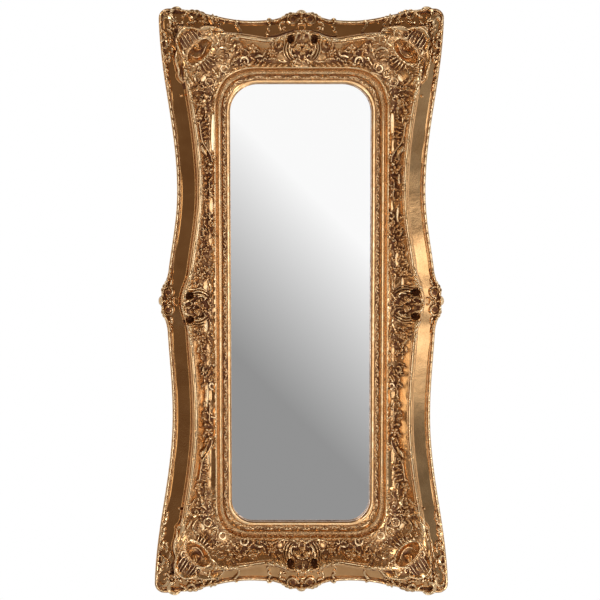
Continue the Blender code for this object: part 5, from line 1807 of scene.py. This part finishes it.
def screen_axes(tree):
    """The coordinates of a screen, whole and as separate axes."""
    place = object_place(tree)
    split = tree.nodes.new("ShaderNodeSeparateXYZ")
    tree.links.new(place, split.inputs[0])
    return place, split.outputs["X"], split.outputs["Y"]


UPRIGHT = (radians(90), 0.0, 0.0)
screen("studio_wall", 14.0, 9.0, (0.0, 0.9, 1.0), UPRIGHT, glow("white_wall_finish")[0])
pale_floor, tree, shader = new_material("pale_floor_finish")
shader.inputs["Base Color"].default_value = (0.75, 0.74, 0.72, 1.0)
shader.inputs["Roughness"].default_value = 0.7
screen("studio_floor", 14.0, 12.0, (0.0, -4.0, -2.45), (0.0, 0.0, 0.0), pale_floor, True)
print("camera at:", CAMERA_PLACE)

# %% The screen that the glass reflects
SCREEN_REACH = SCREEN_DISTANCE / -CAMERA_PLACE[1]
SCREEN_SIZE = (3.8, 4.6)
FADE_FROM = -0.823
FADE_TO = 0.810
DARKEST = 0.58
GLASS_SEEN = (0.500, 1.525)
ROUND_THE_GLASS = 3.0
ROUND_FADE = (0.5, 2.1)
ROUND_FADED = 0.30
BORDER_BLEND = 0.05
room_screen, tree, shader = glow("room_screen_finish")
calc = partial(math_node, tree)
place, along_width, along_height = screen_axes(tree)
slope = calc("ADD", along_width, along_height)
tint = calc("POWER", ramp(tree, slope, FADE_FROM, FADE_TO, DARKEST, 1.0, "LINEAR"), 2.2)
from_middle = [calc("ABSOLUTE", along_width), calc("ABSOLUTE", along_height)]
beyond = [calc("SUBTRACT", distance, edge) for distance, edge in zip(from_middle, GLASS_SEEN)]
fading = ramp(tree, from_middle[1], *ROUND_FADE, ROUND_THE_GLASS, ROUND_FADED * ROUND_THE_GLASS)
border = calc("MULTIPLY", ramp(tree, calc("MAXIMUM", *beyond), 0.0, BORDER_BLEND), fading)
tree.links.new(calc("MAXIMUM", tint, border), shader.inputs["Emission Strength"])
screen_place = (-CAMERA_PLACE[0] * SCREEN_REACH, -SCREEN_DISTANCE, -CAMERA_PLACE[2] * SCREEN_REACH)
screen("room_screen", *SCREEN_SIZE, screen_place, UPRIGHT, room_screen)
print("room screen at:", screen_place)

# %% The window wall on the right
WINDOW_PLACE = (1.52, -1.10, 0.0)
WINDOW_SIZE = (0.6, 2.4)
WINDOW_TURN = 51.0
WINDOW_STRENGTH = 2.1
STREAK_STRETCH = (16.0, 1.1, 1.0)
WINDOW_LIGHT = [
    (0.0, 0.11), (0.15, 0.12), (0.24, 0.10), (0.27, 0.13), (0.305, 0.30), (0.33, 0.60), (0.36, 0.92),
    (0.40, 0.78), (0.46, 0.50), (0.52, 0.54), (0.56, 0.88), (0.60, 0.96), (0.615, 0.60), (0.63, 0.20),
    (0.66, 0.12), (0.70, 0.15), (0.76, 0.16), (1.0, 0.11),
]
window_wall, tree, shader = glow("window_wall_finish", (1.0, 0.97, 0.91))
calc = partial(math_node, tree)
place, along_width, along_height = screen_axes(tree)
panes = tree.nodes.new("ShaderNodeFloatCurve")
curve = panes.mapping.curves[0]
while len(curve.points) < len(WINDOW_LIGHT):
    curve.points.new(0.5, 0.5)
for point, marked in zip(curve.points, WINDOW_LIGHT):
    point.location = marked
panes.mapping.update()
upward = calc("MULTIPLY_ADD", along_height, 1.0 / WINDOW_SIZE[1], 0.5)
tree.links.new(upward, panes.inputs["Value"])
streaky = noise(tree, stretched(tree, place, STREAK_STRETCH), 1.0, 2.0, 0.5)
streaks = ramp(tree, streaky, 0.36, 0.62, 0.62, 1.35)
pane_light = calc("MULTIPLY", calc("MULTIPLY", panes.outputs["Value"], WINDOW_STRENGTH), streaks)
tree.links.new(pane_light, shader.inputs["Emission Strength"])
screen("window_wall", *WINDOW_SIZE, WINDOW_PLACE, (radians(90), 0.0, radians(WINDOW_TURN)), window_wall)
print("window wall at:", WINDOW_PLACE)

# %% Lights and camera
def soft_light(name, place, aim, size, power, colour):
    """A rectangular lamp of a size, power and colour that points at a place."""
    lamp = bpy.data.lights.new(name, "AREA")
    lamp.shape = "RECTANGLE"
    lamp.color = colour
    lamp.size, lamp.size_y = size
    lamp.energy = power
    holder = bpy.data.objects.new(name, lamp)
    holder.location = place
    holder.rotation_euler = (Vector(aim) - Vector(place)).to_track_quat("-Z", "Y").to_euler()
    bpy.context.scene.collection.objects.link(holder)


WARM_WHITE = (1.0, 0.95, 0.86)
WARM_GLOW = (1.0, 0.84, 0.62)
soft_light("right_strip", (3.5, -1.25, 0.0), (0.0, 0.0, 0.0), (0.5, 3.2), 10.0, WARM_WHITE)
soft_light("left_strip", (-3.6, -1.05, 0.1), (0.0, 0.0, 0.0), (0.6, 3.0), 8.0, WARM_GLOW)
soft_light("high_left_panel", (-1.6, -3.0, 2.6), (0.0, 0.0, 0.2), (1.0, 1.0), 24.0, WARM_WHITE)
soft_light("low_right_panel", (1.5, -2.6, -1.9), (0.0, 0.0, -0.2), (0.8, 0.8), 16.0, WARM_WHITE)
world = bpy.data.worlds.new("studio_world")
bpy.context.scene.world = world
world.use_nodes = True
tree = world.node_tree
dim_room = tree.nodes["Background"]
dim_room.inputs["Color"].default_value = (0.172, 0.118, 0.076, 1.0)
seen_white = tree.nodes.new("ShaderNodeBackground")
choose = tree.nodes.new("ShaderNodeMixShader")
seen_white.inputs["Color"].default_value = (1.0, 1.0, 1.0, 1.0)
tree.links.new(tree.nodes.new("ShaderNodeLightPath").outputs["Is Camera Ray"], choose.inputs[0])
tree.links.new(dim_room.outputs[0], choose.inputs[1])
tree.links.new(seen_white.outputs[0], choose.inputs[2])
tree.links.new(choose.outputs[0], tree.nodes["World Output"].inputs["Surface"])
bpy.context.scene.view_settings.view_transform = "Standard"

SENSOR_WIDTH = 36.0
IMAGE_PIXELS = 600
METRES_PER_PIXEL = 0.003066
IMAGE_WIDTH_METRES = IMAGE_PIXELS * METRES_PER_PIXEL
FOCUS_HEIGHT = 0.045
SHIFT_TRIM = (-0.0025, 0.0017)
camera = bpy.data.cameras.new("photo_camera")
camera_holder = bpy.data.objects.new("photo_camera", camera)
bpy.context.scene.collection.objects.link(camera_holder)
camera_holder.location = CAMERA_PLACE
camera_holder.rotation_euler = (radians(90), 0.0, 0.0)
camera.sensor_width = SENSOR_WIDTH
camera.lens = SENSOR_WIDTH * (-CAMERA_PLACE[1] - FOCUS_HEIGHT) / IMAGE_WIDTH_METRES
camera.shift_x = -CAMERA_PLACE[0] / IMAGE_WIDTH_METRES + SHIFT_TRIM[0]
camera.shift_y = -CAMERA_PLACE[2] / IMAGE_WIDTH_METRES + SHIFT_TRIM[1]
bpy.context.scene.camera = camera_holder
print("lens:", round(camera.lens, 1), "mm")

# %% [markdown]
# ## The frame's body
# Each piece rides on the frame's one body, and the two rings with their carving stand for the plain carved
# frame.

# %% Finish
for piece in GILT_PIECES:
    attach(piece, "root")
    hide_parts("carved_frame")
